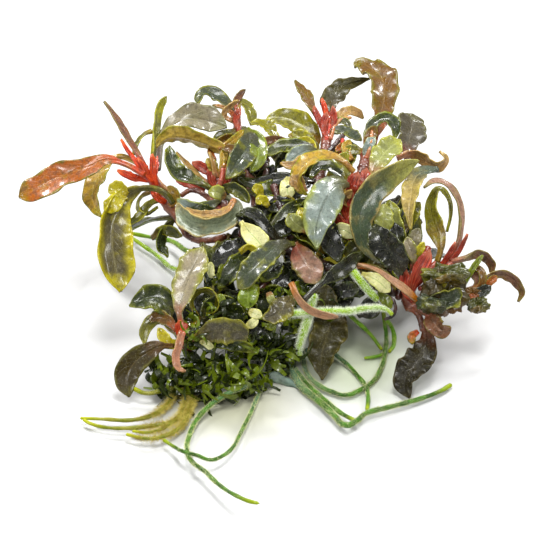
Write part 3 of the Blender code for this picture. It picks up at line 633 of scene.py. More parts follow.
main_leaves("middle", [
    (GOLDEN, [(223, 168, 3.5), (223, 152, 2), (206, 143, 2), (190, 138, 3), (175, 136, 4), (163, 139, 4),
     (156, 147, 3)], 4.4, 130, dict(stalk=0.1)),
    (GREEN, [(210, 188, 5), (200, 183, 6), (188, 178, 7), (178, 172, 8), (172, 160, 8), (169, 146, 7)],
     3.6, (30, 35), dict(stalk=0.1)),
    (SLATE, [(244, 128, -2), (248, 140, 1), (242, 157, 5), (233, 170, 7), (226, 179, 7.5)], 5.0,
     (-20, -10), dict(stalk=0.08, widest=0.5, ragged=0.5)),
    (RIMMED, [(228, 197, 5), (236, 207, 8), (226, 219, 10), (210, 224, 11), (195, 222, 11),
     (182, 212, 10), (177, 203, 9)], 4.4, (-30, -40, -40), dict(stalk=0.1, curl=(0.5, 0.1))),
])
young_leaves("middle_young", [
    (PINK, [(217, 178, 2), (206, 170, 1.5), (192, 162, 1)], 2.1, 20),
    (GOLDEN, [(217, 180, 2), (213, 168, 3), (207, 158, 3.5)], 2.2, (30, 10)),
    (BEIGE, [(218, 186, 2), (205, 181, 2.5), (190, 168, 1.5), (176, 152, 1)], 1.8, 60),
    (SLATE, [(219, 190, 2), (228, 187, 4), (240, 192, 5), (249, 203, 5)], 2.6, 20),
    (PINK, [(219, 190, 2.5), (212, 180, 3.4), (209, 168, 3)], 1.8, 20),
    (PINK, [(219, 190, 3), (224, 180, 4), (226, 168, 3.6)], 1.8, -10),
    (BEIGE, [(216, 178, 3), (213, 164, 3.8), (209, 152, 4)], 1.1, (30, 60)),
    (GOLDEN, [(219, 178, 2.5), (222, 164, 3.4), (222, 150, 3)], 1.1, (-30, 20)),
    (SAGE, [(224, 196, 6), (218, 193, 8.6), (208, 192, 9)], 2.8, (0, 10), dict(stalk=0.05)),
    (PALE_PAINTED_SHEEN, [(220, 200, 3), (205, 207, 5.5), (190, 207, 6.4), (177, 199, 6)], 2.8, -20),
    (BEIGE, [(234, 200, 9), (228, 209, 11.4), (214, 214, 12.4), (198, 214, 12), (186, 208, 11)], 1.7, 30,
     dict(stalk=0.05)),
    (BROWN, [(226, 168, 3), (236, 160, 4), (232, 150, 4), (222, 149, 3.4)], 2.2, 20),
    (GOLDEN, [(219, 150, 2), (228, 143, 2), (238, 136, 1), (243, 130, 0)], 1.6, 20),
    (BROWN, [(214, 160, 1), (211, 150, 0), (222, 140, -1), (232, 134, -1.5)], 2.2, 30),
    (PINK, [(205, 190, 1), (190, 184, 1), (176, 180, 0)], 2.1, 20),
    (GREEN, [(228, 212, 4), (214, 214, 6), (198, 212, 7), (186, 206, 6)], 3.4, (20, 10)),
])
stem_piece("middle_stem", [
    (BROWN_STEM, [(217, 175, 2), (219, 194, 2), (228, 212, 3), (236, 225, 4.2)], (1.2, 1.2, 1.0)),
    (PINK_STALK, [(218, 190, 3.4), (221, 180, 4.6), (223, 168, 3.4)], (0.5, 0.45)),
    (RED_STEM, [(222, 212, 3), (206, 196, 3), (192, 190, 2), (180, 196, 2.5)], (0.6, 0.5)),
])

# The top crown, at the back: small yellow-olive leaves on a thin brown stem, with dark bare stems
# below it that carried leaves once.
ACID = leaf_finish("yellow_olive_leaf", "#74500c", "#706c06", "#a09a06", "#94883c", "#a09a40", mottle=0.7)
LIME = leaf_finish("lime_leaf", "#6c7808", "#606c06", "#80880c", "#70801c", "#7c9030", mottle=0.5)
CREAM = leaf_finish("cream_leaf", "#b8b060", "#ccca90", "#cccc70", "#ccca90", "#6c9c2c", mottle=0.15,
                    gloss=0.6)
DARK_STEM = stem_finish("dark_stem", "#1e120d", "#4a2a1e", "#5c2a20")

main_leaves("top", [
    (ACID, [(278, 147, -4), (274, 136, -5), (267, 127, -5), (259, 123, -5), (250, 124, -5)], 3.2, 50,
     dict(stalk=0.12)),
    (ACID, [(315, 149, -7), (312, 137, -8), (303, 126, -8), (289, 119, -8), (276, 118, -8),
     (265, 123, -8)], 5.0, 20, dict(stalk=0.04, widest=0.4, ragged=0.6)),
])
young_leaves("top_young", [
    (SLATE, [(236, 113, -8), (227, 102, -8), (213, 94, -8), (203, 94, -7), (198, 103, -6)], 3.4,
     (30, 40)),
    (KHAKI, [(236, 112, -8), (242, 103, -9), (249, 110, -9), (251, 124, -9)], 2.8, -40),
    (MAUVE, [(236, 112, -8), (237, 98, -8), (245, 89, -8)], 1.6, 30),
    (OLIVE, [(238, 130, -6.5), (226, 134, -5), (213, 139, -4.5)], 2.2, 30),
    (LIME, [(248, 129, -3), (256, 138, 0), (259, 150, 2), (257, 162, 3), (251, 172, 3)], 3.6, 0,
     dict(ragged=0.3)),
    (ACID, [(318, 158, -6.6), (312, 147, -6.4), (303, 137, -6.8), (292, 132, -7)], 3.2, (0, 10),
     dict(stalk=0.05)),
    (YELLOW, [(296, 144, -6), (306, 140, -5.4), (313, 146, -5), (311, 155, -4.6)], 1.6, (0, 10),
     dict(stalk=0.05)),
    (PALE_PAINTED_SHEEN, [(315, 150, -3), (304, 151, -1), (294, 157, 0), (287, 166, 0.6)], 3.2, (0, 10),
     dict(stalk=0.05)),
    (CREAM, [(288, 178, 2), (287, 188, 3), (290, 199, 3)], 3.0, (0, 10), dict(stalk=0.05)),
    (YELLOW, [(287, 196, 3), (291, 207, 3.6), (299, 218, 4)], 3.0, (0, 10), dict(stalk=0.05)),
    (ORANGE, [(237, 118, -7.6), (225, 108, -7), (212, 105, -6.6)], 1.0, 20),
    (BEIGE, [(236, 122, -7.4), (224, 114, -5), (229, 106, -4.5), (238, 100, -4.6)], 1.4, 40),
    (MAUVE, [(247, 155, -4), (262, 143, -3.4), (276, 139, -4), (286, 139, -4)], 1.8, 10),
    (GOLDEN, [(318, 150, -7.4), (308, 142, -7.6), (298, 136, -8), (288, 135, -8)], 2.2, 10),
    (PINK, [(239, 132, -5.6), (236, 120, -6), (240, 108, -7)], 1.4, 10),
    (YELLOW, [(262, 196, 4), (258, 190, 5), (252, 189, 5.4)], 2.2, 10),
    (YELLOW, [(268, 206, 5), (262, 200, 6), (256, 203, 6.2)], 2.0, 10),
])
stem_piece("top_stem", [
    (BROWN_STEM, [(236, 110, -8), (238, 130, -6.5), (244, 155, -4.5), (251, 185, -2), (256, 205, 0.5),
     (258, 216, 2)], (0.8, 1.0, 1.0)),
    (DARK_STEM, [(273, 184, 2), (278, 200, 3), (285, 220, 4.4), (292, 240, 6)], (0.8, 0.9)),
    (DARK_STEM, [(262, 150, -3), (266, 170, -1), (262, 190, 1)], (0.6, 0.6)),
])

# The back crown: a dark pleated leaf and a tall brown one with a curled tip, over scarlet young
# petioles on a long brown stem.
PLEATED = leaf_finish("pleated_leaf", "#443810", "#302c0c", "#544c1c", "#484018", "#4c4420", mottle=0.35,
                      gloss=0.1)
BLACK = leaf_finish("black_green_leaf", "#241e0c", "#0a0d02", "#3c4205", "#242c0c", "#1c2408", edge=0.84,
                    mottle=0.4, gloss=1.3)

main_leaves("back", [
    (BROWN, [(323, 126, -6.5), (315, 112, -6), (307, 99, -6), (295, 80, -7)], 3.0, 40, dict(stalk=0.3)),
    (PLEATED, [(331, 116, -6.5), (333, 102, -7), (339, 90, -7), (351, 82, -8), (370, 78, -9)], 5.4,
     (-30, -20), dict(widest=0.34, stalk=0.08, blunt=1.2)),
    (BROWN, [(374, 145, -4), (378, 128, -4.5), (382, 108, -5), (384, 90, -5), (379, 74, -6),
     (369, 67, -7), (360, 62, -7), (355, 67, -7)], 6.2, (20, 25), dict(stalk=0.1, wave=0.18)),
])
young_leaves("back_young", [
    (SCARLET, [(328, 125, -5.5), (326, 112, -5), (322, 98, -5)], 1.1, 30, dict(stalk=0.6, widest=0.7)),
    (BEIGE, [(328, 127, -5.5), (340, 115, -5.5), (354, 111, -6), (364, 118, -7)], 2.2, -20),
    (SLATE, [(327, 132, -5), (345, 131, -4), (362, 140, -3)], 2.6, -30),
    (GREEN, [(322, 160, -3), (305, 147, -2.5), (283, 147, -2.5), (266, 156, -1.5)], 3.4, 30),
    (BLACK, [(318, 182, -1), (300, 180, 1), (276, 179, 1), (256, 184, 1), (238, 178, 1)], 2.8, (30, 20)),
    (BEIGE, [(320, 170, -2), (308, 158, 0), (294, 166, 1.5), (280, 163, 1.5)], 2.2, 20),
    (BLACK, [(308, 218, 4.5), (322, 225, 9), (331, 242, 10.5), (339, 262, 11.5)], 4.6, (10, 0)),
    (PINK, [(327, 134, -5), (319, 120, -4.5), (314, 106, -4.6)], 1.4, 20),
    (PINK, [(328, 134, -5), (334, 120, -4.4), (333, 106, -4.8)], 1.4, -20),
    (PINK, [(327, 140, -4.4), (324, 126, -3.6), (327, 112, -4)], 1.6, 0),
    (OLIVE, [(329, 128, -5.5), (340, 120, -5), (352, 128, -5)], 1.6, -20),
    (SAGE, [(346, 142, -3), (342, 153, -2), (336, 160, -1)], 2.4, -20),
    (ORANGE, [(352, 150, -2), (343, 146, -1), (336, 152, 0)], 1.4, (0, 10)),
    (GOLDEN, [(352, 160, 2), (346, 150, 1), (350, 140, 0)], 2.0, (0, 10)),
    (BLACK, [(328, 150, -4), (345, 147, -2.6), (360, 152, -2)], 2.6, 0),
])
stem_piece("back_stem", [
    (BROWN_STEM, [(328, 124, -5.5), (326, 145, -4.5), (320, 175, -2), (313, 205, 2), (304, 228, 6.2)],
     (1.0, 1.1, 1.2)),
    (SCARLET_STALK, [(326, 140, -4), (330, 122, -5), (331, 112, -6)], (0.5, 0.45)),
    (SCARLET_STALK, [(327, 142, -4), (320, 122, -5.6), (313, 108, -5.6)], (0.5, 0.45)),
    (SCARLET_STALK, [(337, 162, -1), (341, 150, -1), (343, 138, -1.6)], (0.4, 0.35)),
    (ORANGE_STALK, [(330, 140, -4), (340, 120, -5), (352, 117, -5.5)], (0.45, 0.35)),
    (DARK_STEM, [(322, 160, -2.6), (334, 146, -2.6), (344, 134, -3)], (0.6, 0.5)),
])

# The centre crown: the big pale spoon in front, the golden arch over it and the long blue-green
# leaf, round a column of pink sheaths on the thickest stem.
DUN = leaf_finish("dun_leaf", "#64382c", "#4a4434", "#5c5820", "#6c644c", "#5c543c", mottle=0.4)
BLUISH = leaf_finish("blue_green_leaf", "#38402c", "#3a4830", "#a08c48", "#505c40", "#44523c", edge=0.8,
                     mottle=0.45, tip="#a8a650")
DRY = leaf_finish("dry_tan_leaf", "#4a5444", "#ac9654", "#b0a03c", "#b49c60", "#c4b078", stalk_end=0.34,
                  mottle=0.5)

main_leaves("centre", [
    (GOLDEN, [(354, 172, 6), (343, 162, 7), (328, 156, 8), (313, 159, 8.5), (302, 168, 9), (297, 178, 9),
     (300, 188, 9), (307, 195, 9)], 3.8, (45, 50), dict(stalk=0.12)),
    (PALE_PAINTED_SHEEN, [(348, 185, 8), (340, 185, 11), (330, 194, 14), (321, 208, 16), (315, 226, 17),
     (317, 249, 17)], 7.2, (0, 0, 5), dict(widest=0.48, stalk=0.05, fold=-0.1, blunt=2.0, ragged=0.6)),
    (SAGE, [(371, 178, 6.5), (377, 164, 6.5), (387, 151, 5.5), (401, 140, 4.5)], 5.0, -20,
     dict(stalk=0.08, widest=0.65)),
    (DUN, [(407, 162, -2.5), (408, 147, -3), (411, 131, -4), (413, 114, -5)], 6.0, 15,
     dict(widest=0.7, stalk=0.08, blunt=5.0, ragged=1.6)),
    (BLUISH, [(399, 270, 8.5), (386, 263, 10), (369, 250, 11), (361, 232, 12), (361, 213, 12),
     (368, 196, 11.5), (382, 181, 10.5), (400, 169, 9), (419, 160, 8)], 6.0, 30,
     dict(widest=0.6, stalk=0.1)),
    (BEIGE, [(397, 158, 1), (410, 153, 1), (421, 157, 1), (431, 164, 2), (441, 165, 3), (446, 158, 3),
     (440, 151, 3)], 2.8, (40, 45), dict(widest=0.4, stalk=0.1)),
    (DRY, [(438, 169, 5), (425, 172, 6), (415, 181, 8), (411, 196, 9.5), (409, 212, 11),
     (411, 230, 11.5)], 4.2, (40, 35), dict(stalk=0.04, widest=0.35, blunt=2.0)),
])
young_leaves("centre_young", [
    (PALE_PAINTED_SHEEN, [(365, 160, 1.5), (368, 148, 3), (375, 137, 3)], 2.2, -20),
    (GREEN, [(358, 186, 3.2), (342, 176, 4), (324, 166, 4.5), (310, 178, 5)], 3.0, 40),
    (KHAKI, [(366, 152, 0.8), (355, 150, 1), (342, 151, 0.5)], 2.2, 20),
    (GREEN, [(367, 150, 0.6), (371, 131, -1), (378, 120, -1), (388, 119, 0), (395, 127, 1),
     (395, 139, 1)], 3.2, -35),
    (PINK, [(352, 204, 5), (352, 188, 7), (358, 172, 7)], 2.6, 10),
    (PINK, [(350, 200, 5), (362, 188, 7), (367, 168, 6)], 2.4, -20),
    (PINK, [(348, 222, 6), (346, 206, 7.5), (353, 192, 8)], 2.4, 10),
    (PINK, [(347, 240, 6.5), (340, 226, 8.5), (334, 212, 9)], 2.8, 10),
    (PINK, [(347, 242, 7), (352, 228, 9), (354, 212, 9)], 2.8, -10),
    (KHAKI, [(356, 190, 5), (346, 176, 4), (342, 162, 3), (348, 152, 2)], 3.0, 10),
    (GOLDEN, [(352, 196, 5), (342, 190, 4), (334, 178, 3), (332, 168, 2)], 3.0, 10),
    (OLIVE, [(356, 182, 3), (348, 170, 2), (350, 156, 1), (358, 146, 0)], 2.4, (-10, 10)),
    (BEIGE, [(352, 206, 6.5), (345, 198, 8.5), (352, 190, 9)], 1.8, 20),
    (BROWN, [(367, 150, 1.5), (369, 138, 2), (376, 126, 1.6)], 2.4, (0, 20)),
    (BLACK, [(398, 258, 8.6), (397, 240, 9), (392, 222, 8.6)], 3.2, 0),
    (SAGE, [(306, 232, 8), (297, 224, 9.6), (288, 214, 9.6)], 3.2, 0),
    (BEIGE, [(306, 192, 8), (298, 183, 9), (290, 177, 9)], 2.8, 0),
    (YELLOW, [(300, 228, 8), (303, 218, 9), (299, 208, 8.6)], 2.4, 0),
    (SAGE, [(380, 240, 9), (383, 222, 10), (385, 204, 9.5)], 4.0, 10),
])
stem_piece("centre_stem", [
    (BROWN_STEM, [(367, 148, 0.5), (363, 172, 2.5), (354, 195, 4), (348, 222, 5), (346, 245, 6),
     (347, 258, 7)], (1.1, 1.3, 1.2)),
    (ORANGE_STALK, [(366, 160, 2.5), (371, 146, 3), (372, 130, 2)], (0.5, 0.45, 0.3)),
    (RED_STEM, [(352, 205, 6), (360, 192, 7), (371, 178, 6.5)], (0.6, 0.5)),
])

# The right crown: pink sheaths, leaves on long stalks that arch over, a dark one that hangs down,
# and in front of its red stem a few leaves that have crumpled up.
PEACH = leaf_finish("peach_leaf", "#a8620c", "#a07454", "#a8845c", "#a8846c", "#a88c70", stalk_end=0.12,
                    mottle=0.4, gloss=0.5)
BLUSH = leaf_finish("blush_leaf", "#94432c", "#94705c", "#78702c", "#8e7054", "#9c8068", edge=0.8,
                    mottle=0.5, gloss=0.7)
UMBER = leaf_finish("umber_leaf", "#5c3014", "#1e1a0a", "#3c3414", "#342e14", "#2e2814", edge=0.84,
                    mottle=0.3, gloss=0.1)
DUSTY = leaf_finish("dusty_leaf", "#8c5038", "#857a60", "#80801a", "#8e8868", "#5c5438", stalk_end=0.08,
                    edge=0.55, mottle=0.4)
BRONZE = leaf_finish("bronze_leaf", "#5c3c14", "#342a08", "#545004", "#584a1a", "#544418", mottle=0.3,
                     gloss=0.7)

main_leaves("right", [
    (KHAKI, [(437, 262, 11), (441, 248, 10.5), (440, 236, 10), (435, 223, 9), (432, 211, 8.5),
     (433, 199, 7.5), (440, 189, 6), (449, 198, 5.5), (451, 213, 5.5), (447, 232, 5.5)], 4.0,
     (-30, -30, -50), dict(widest=0.3, stalk=0.1, blunt=0.6)),
    (BLUSH, [(447, 262, 8.5), (457, 246, 8), (461, 228, 8), (461, 211, 8), (456, 196, 8.5), (447, 185, 9),
     (436, 181, 9.5), (424, 187, 10.5)], 1.9, (50, 45), dict(widest=0.7, stalk=0.35, ragged=0.3)),
    (MAUVE, [(450, 262, 11), (466, 258, 9.5), (480, 254, 8.5), (491, 262, 8), (492, 275, 8)], 2.4,
     (40, 45), dict(widest=0.7, stalk=0.3)),
    (MAUVE, [(470, 290, 11), (479, 287, 11), (486, 279, 11), (496, 274, 11), (508, 275, 11),
     (518, 284, 11), (522, 293, 11), (518, 302, 11)], 2.2, (40, 45), dict(stalk=0.15)),
    (SLATE, [(425, 301, 17.2), (436, 298, 17.6), (450, 297, 17.8), (461, 289, 17.5)], 4.2, 20,
     dict(stalk=0.12, curl=(0.4, 0.4), wave=0.2)),
    (PEACH, [(417, 300, 15), (405, 290, 16.5), (390, 279, 17.5), (375, 269, 18), (358, 264, 18)], 1.8, 30,
     dict(widest=0.3, stalk=0.05, ragged=0.2, blunt=1.0, wave=0.04)),
    (MAUVE, [(427, 306, 15), (431, 314, 16.5), (435, 325, 18), (442, 331, 18.5), (451, 327, 18.5)], 3.6,
     25, dict(stalk=0.12)),
    (UMBER, [(421, 320, 13.5), (427, 335, 15), (424, 350, 16.5), (415, 365, 18.5), (406, 382, 20),
     (409, 398, 21.8)], 5.8, (25, 20), dict(stalk=0.1, wave=0.2, ragged=1.3, blunt=2.2)),
    (BLACK, [(401, 276, 13.5), (398, 262, 15), (389, 249, 15.5), (379, 237, 15.5), (375, 224, 15)], 6.0,
     -20, dict(widest=0.5, stalk=0.06, ragged=0.5)),
    (SAGE, [(404, 262, 7), (401, 245, 7.5), (395, 230, 7.5), (391, 215, 7), (389, 200, 6.5)], 4.4, -15,
     dict(fold=0.5, stalk=0.12)),
])
young_leaves("right_young", [
    (SLATE, [(413, 280, 10.8), (413, 262, 8.6), (413, 248, 7.5), (415, 234, 7), (419, 216, 6.5)], 3.0, 20,
     dict(stalk=0.35)),
    (HEATHER, [(408, 256, 10), (413, 244, 11), (419, 228, 11)], 2.6, 0),
    (LIME, [(462, 286, 11), (472, 270, 12), (483, 255, 12.4)], 1.2, (-10, -20), dict(ragged=0.2)),
    (PINK, [(410, 296, 13), (418, 274, 15), (430, 250, 13)], 2.9, 10),
    (PINK, [(412, 302, 13), (404, 286, 14), (405, 268, 13)], 2.1, 20),
    (PINK, [(440, 268, 11), (449, 254, 12), (456, 242, 12)], 1.0, 20),
    (PINK, [(444, 268, 10), (457, 254, 9.6), (468, 234, 9.6)], 0.9, 20),
    (MAUVE, [(465, 292, 11), (478, 284, 11.6), (474, 274, 11), (466, 270, 10)], 1.8, 10),
    (ORANGE, [(484, 288, 11.4), (492, 280, 11.8), (497, 276, 11.6)], 1.6, 0),
    (BLACK, [(468, 296, 12), (480, 292, 12.6), (491, 286, 12)], 2.2, 0),
    (SAGE, [(392, 262, 6.4), (393, 246, 7), (386, 222, 7.4)], 3.0, 20),
    (BROWN, [(470, 292, 11.6), (482, 282, 12), (480, 270, 11.4), (470, 268, 10.6)], 1.6, 20),
    (YELLOW, [(419, 262, 12), (419, 252, 13.4), (424, 242, 13.4)], 1.6, 0),
    (DUSTY, [(414, 264, 12.5), (411, 250, 13.4), (407, 237, 12.8)], 2.4, 0),
    (ORANGE, [(417, 332, 15), (412, 336, 16), (412, 344, 16.6)], 1.6, 0),
    (OLIVE, [(404, 232, 7.6), (412, 214, 7.8), (420, 202, 7.4)], 3.0, 0),
])
CRUMPLE_FOLDS = 1.25
CRUMPLE_DEPTH = 0.42
CRUMPLE_PUCKERS = 3.6
CRUMPLE_PUCKER_DEPTH = 0.16


def crumpled(name, finish, middle, size, hollow, seed):
    """A leaf screwed up into a ball, with a hollow on the side that the last vector names."""
    bpy.ops.mesh.primitive_ico_sphere_add(subdivisions=6, radius=1)
    made = bpy.context.object
    made.name = name
    mesh = made.data
    mesh.uv_layers[0].name = LEAF_UV
    hollow = Vector(hollow).normalized()
    for vertex in mesh.vertices:
        way = vertex.co.normalized()
        folds = 1 - 1.6 * abs(noise.noise(way * CRUMPLE_FOLDS + Vector((seed, 0, 0))))
        puckers = noise.noise(way * CRUMPLE_PUCKERS + Vector((0, seed, 0)))
        dent = max(0.0, way.dot(hollow) - 0.45) * 1.3
        out = 1 + CRUMPLE_DEPTH * (folds - 0.75) + CRUMPLE_PUCKER_DEPTH * puckers - dent
        vertex.co = Vector(part * reach for part, reach in zip(way * out, size)) * MM
    mark_upper(mesh, [1.0] * len(mesh.vertices))
    mesh.transform(Matrix.Translation(spot(*middle)))
    mesh.transform(Matrix.Translation(SHEET_FOOT) @ Matrix.Rotation(SHEET_TURN, 4, "X"))
    dress(made, finish)
    return made


added(joined("right_crumpled_leaves", [
    crumpled("crumpled_top", OLIVE, (445, 274, 16), (4.4, 2.6, 3.0), (-0.2, 0.6, 0.4), 1.3),
    crumpled("crumpled_low", BRONZE, (445, 292, 15.4), (4.4, 4.4, 3.4), (0.5, 0.2, 0.8), 4.1),
    crumpled("crumpled_front", SLATE, (434, 302, 17.4), (3.2, 2.3, 2.4), (0.3, 0.9, 0.3), 7.7),
    crumpled("crumpled_far", OLIVE, (478, 305, 13), (2.2, 1.6, 1.8), (0, 0.4, 0.8), 2.9),
    crumpled("crumpled_bit", BROWN, (472, 293, 12.4), (1.7, 1.2, 1.4), (0, 0, 1), 5.5),
]))
stem_piece("right_stem", [
    (RED_STEM, [(429, 246, 8), (421, 264, 9.5), (412, 282, 11), (408, 297, 12), (414, 312, 12.5)],
     (0.7, 1.3, 1.4, 1.2)),
    (PINK_STALK, [(416, 286, 11.5), (432, 272, 11), (447, 263, 9)], (0.5, 0.5)),
    (PINK_STALK, [(418, 290, 12), (436, 278, 12.4), (452, 262, 11)], (0.5, 0.45)),
    (PINK_STALK, [(416, 282, 11.5), (428, 270, 11.5), (437, 262, 11)], (0.5, 0.5)),
    (RED_STEM, [(414, 300, 12.5), (440, 298, 12), (460, 294, 11.5), (471, 290, 11)], (0.6, 0.5)),
    (PINK_STALK, [(410, 284, 10.8), (412, 270, 9.6), (413, 256, 8.4)], (0.5, 0.4)),
    (BROWN_STEM, [(414, 306, 13), (424, 312, 15), (430, 312, 16)], (0.8, 0.7)),
    (BROWN_STEM, [(413, 308, 12.8), (420, 318, 13.6), (423, 332, 14.6)], (0.7, 0.6)),
    (DARK_STEM, [(398, 300, 11.5), (400, 284, 10), (388, 268, 9)], (0.7, 0.6)),
    (DARK_STEM, [(386, 296, 12), (394, 302, 13), (394, 314, 13), (384, 320, 12.6)], (0.4, 0.3)),
])

# Leaves along the front of the rhizome, with dark glossy ones in the shade behind them and small
# round floating leaves caught among them.
DUSK = leaf_finish("dark_olive_leaf", "#5c5018", "#4a4430", "#84800c", "#6c6828", "#605838", edge=0.6)

main_leaves("front", [
    (BLUSH, [(295, 243, 12.5), (300, 253, 13), (308, 266, 14), (318, 284, 15)], 5.6, -10,
     dict(stalk=0.05, widest=0.5, fold=-0.15, ragged=0.5)),
    (SLATE, [(294, 244, 13.5), (283, 245, 15), (268, 254, 17), (256, 266, 19), (247, 278, 20),
     (238, 289, 20)], 4.8, 20, dict(stalk=0.06, blunt=4.5)),
    (CREAM, [(241, 222, 12), (251, 234, 13), (265, 250, 13.5)], 4.4, -20,
     dict(stalk=0.1, wave=0.05, ragged=0.2, blunt=4.5)),
    (BLACK, [(304, 300, 20), (318, 287, 18.5), (335, 273, 16.5), (362, 252, 14)], 3.4, (30, 25),
     dict(widest=0.65, stalk=0.35)),
    (PLEATED, [(336, 304, 12), (330, 324, 14.5), (323, 350, 15.5), (322, 380, 17)], 7.0, (-10, 0),
     dict(stalk=0.05, widest=0.38, wave=0.22, ragged=1.4, blunt=2.0)),
    (DUSK, [(293, 297, 20), (283, 309, 21), (262, 319, 21)], 4.8, 20,
     dict(stalk=0.03, widest=0.45, blunt=2.0)),
    (PEACH, [(291, 283, 22), (298, 298, 23), (309, 309, 23), (322, 314, 22.5), (338, 317, 21.5)], 1.6, 30,
     dict(stalk=0.1, widest=0.7, ragged=0.3, wave=0.05)),
])
young_leaves("front_young", [
    (BLACK, [(262, 239, 7.3), (247, 243, 9.5), (229, 254, 10), (210, 266, 10)], 4.6, 20),
    (GREEN, [(268, 242, 7.6), (246, 258, 11), (231, 272, 13.5), (218, 289, 14.5)], 4.0, 20),
    (BLACK, [(340, 272, 9.8), (330, 282, 10.5), (338, 294, 11), (354, 299, 11)], 4.4, 0,
     dict(stalk=0.3, widest=0.8)),
    (BLACK, [(262, 236, 8), (250, 222, 10), (236, 214, 10.6)], 3.4, 10),
    (BLACK, [(282, 244, 9), (268, 230, 10.5), (250, 212, 11), (237, 215, 11)], 2.6, 20),
    (BLACK, [(300, 224, 6), (288, 226, 8), (270, 236, 9)], 3.6, 10),
    (CREAM, [(328, 240, 9), (340, 230, 10), (356, 237, 10)], 2.8, 10),
    (OLIVE, [(340, 260, 9), (352, 250, 10), (362, 242, 10)], 3.2, 0),
    (YELLOW, [(318, 262, 9), (330, 262, 10), (345, 256, 10.4)], 2.6, 0),
    (BLACK, [(325, 298, 12), (340, 292, 14), (360, 287, 14)], 3.4, 0),
    (PLEATED, [(326, 322, 13.4), (325, 304, 14.6), (327, 285, 14.6)], 4.4, 0, dict(widest=0.6)),
    (CREAM, [(362, 274, 13), (376, 280, 14), (390, 292, 13.6)], 2.8, 0),
    (BROWN, [(356, 266, 12), (372, 268, 13.6), (388, 276, 13.8), (396, 290, 13.4)], 1.4, 20),
    (LIME, [(378, 292, 12.6), (386, 301, 13), (388, 311, 13)], 2.2, 0),
    (BLACK, [(358, 316, 12.4), (367, 310, 13), (380, 304, 12.6)], 4.2, 0, dict(ragged=0.2, wave=0.05)),
    (BLACK, [(346, 296, 11), (354, 291, 11.6), (366, 286, 11)], 3.2, 0, dict(ragged=0.2, wave=0.05)),
    (LIME, [(288, 306, 12), (294, 292, 13), (302, 280, 13)], 2.2, 20),
    (LIME, [(290, 304, 12), (300, 298, 13), (308, 292, 13)], 1.8, 20),
    (LIME, [(296, 312, 12), (296, 322, 13), (294, 334, 13)], 3.6, 0),
    (YELLOW, [(240, 252, 14), (250, 247, 14.6), (257, 256, 14.6), (252, 266, 14)], 1.6, 40),
    (CREAM, [(212, 290, 11), (209, 276, 12), (211, 262, 12)], 2.2, 10),
    (LIME, [(213, 284, 12), (222, 276, 12.6), (222, 264, 12.4)], 2.2, 10),
    (GREEN, [(262, 300, 11), (272, 292, 13), (284, 292, 14)], 3.0, 10),
    (BLACK, [(330, 262, 9), (318, 270, 11), (300, 284, 12)], 4.6, 0),
    (BLACK, [(300, 262, 9), (288, 272, 11), (272, 286, 12.6)], 4.8, 0),
    (GREEN, [(284, 252, 9), (272, 266, 11.6), (262, 282, 13)], 4.8, 10),
    (BLACK, [(248, 250, 9), (240, 268, 12), (226, 276, 12.8)], 4.4, 10),
])


def shade_leaves(name, seed, count, left, right, high, low, near_at_top, near_at_foot, reach,
                 finishes):
    """Leaves in the shade inside the clump, scattered over a patch of the sheet."""
    draw = random.Random(seed)
    rows = []
    for _ in range(count):
        x, y = draw.uniform(left, right), draw.uniform(high, low)
        near = near_at_top + (near_at_foot - near_at_top) * (y - high) / (low - high)
        near += draw.uniform(-2.5, 0.5)
        heading = draw.uniform(0, 2 * math.pi)
        far = draw.uniform(*reach)
        over, down = math.cos(heading) * far, math.sin(heading) * far
        rows.append((draw.choice(finishes),
                     [(x - over / 2, y - down / 2, near - 1.5), (x, y, near + draw.uniform(0, 1.5)),
                      (x + over / 2, y + down / 2, near + draw.uniform(-1.5, 1))],
                     draw.uniform(2.8, 4.4), draw.uniform(-35, 35)))
    young_leaves(name, rows)


shade_leaves("shade_leaves_left", 11, 30, 205, 320, 232, 318, 4.5, 12.5, (26, 46),
             [BLACK, BLACK, GREEN, BLACK, OLIVE])
shade_leaves("shade_leaves_middle", 12, 22, 240, 345, 190, 262, 1.5, 7.5, (26, 46),
             [BLACK, BLACK, GREEN, SLATE])
shade_leaves("shade_leaves_right", 13, 20, 342, 416, 206, 286, 3.0, 8.5, (26, 44),
             [BLACK, GREEN, GREEN, OLIVE])
shade_leaves("shade_leaves_top", 14, 16, 232, 322, 140, 200, -5.5, -1.0, (24, 40),
             [BLACK, GREEN, OLIVE, MAUVE])


def plate(name, finish, x, y, near, wide, tall, turn):
    """A small round leaf, cupped, facing the front."""
    over, down = wide / 2 * math.cos(turn), wide / 2 * math.sin(turn)
    route = [(x - over, y - down, near - 0.5), (x, y, near + 0.3), (x + over, y + down, near)]
    return leaf(name, finish, route, tall / SHEET_UNITS, blank=small_blank, widest=0.5, stalk=0.02,
                ragged=0.1, wave=0.02, fold=0.08, blunt=2.4)


FRESH = leaf_finish("fresh_green_leaf", "#647404", "#607404", "#849010", "#748820", "#90a048", mottle=0.4)
added(joined("front_floating_leaves", [plate(f"float_{number}", *row) for number, row in enumerate([
    (FRESH, 248, 297, 20.4, 23, 20, 1.5),
    (CREAM, 256, 314, 20.8, 13, 10, 0.4),
    (CREAM, 253, 323, 20.8, 12, 9, -0.5),
    (SAGE, 271, 299, 19.6, 12, 8, 1.2),
    (LIME, 271, 327, 20.6, 9, 7, 0.2),
    (CREAM, 207, 345, 23.4, 14, 9, 0.3),
    (LIME, 222, 300, 17.8, 10, 8, 0.9),
], 1)]))

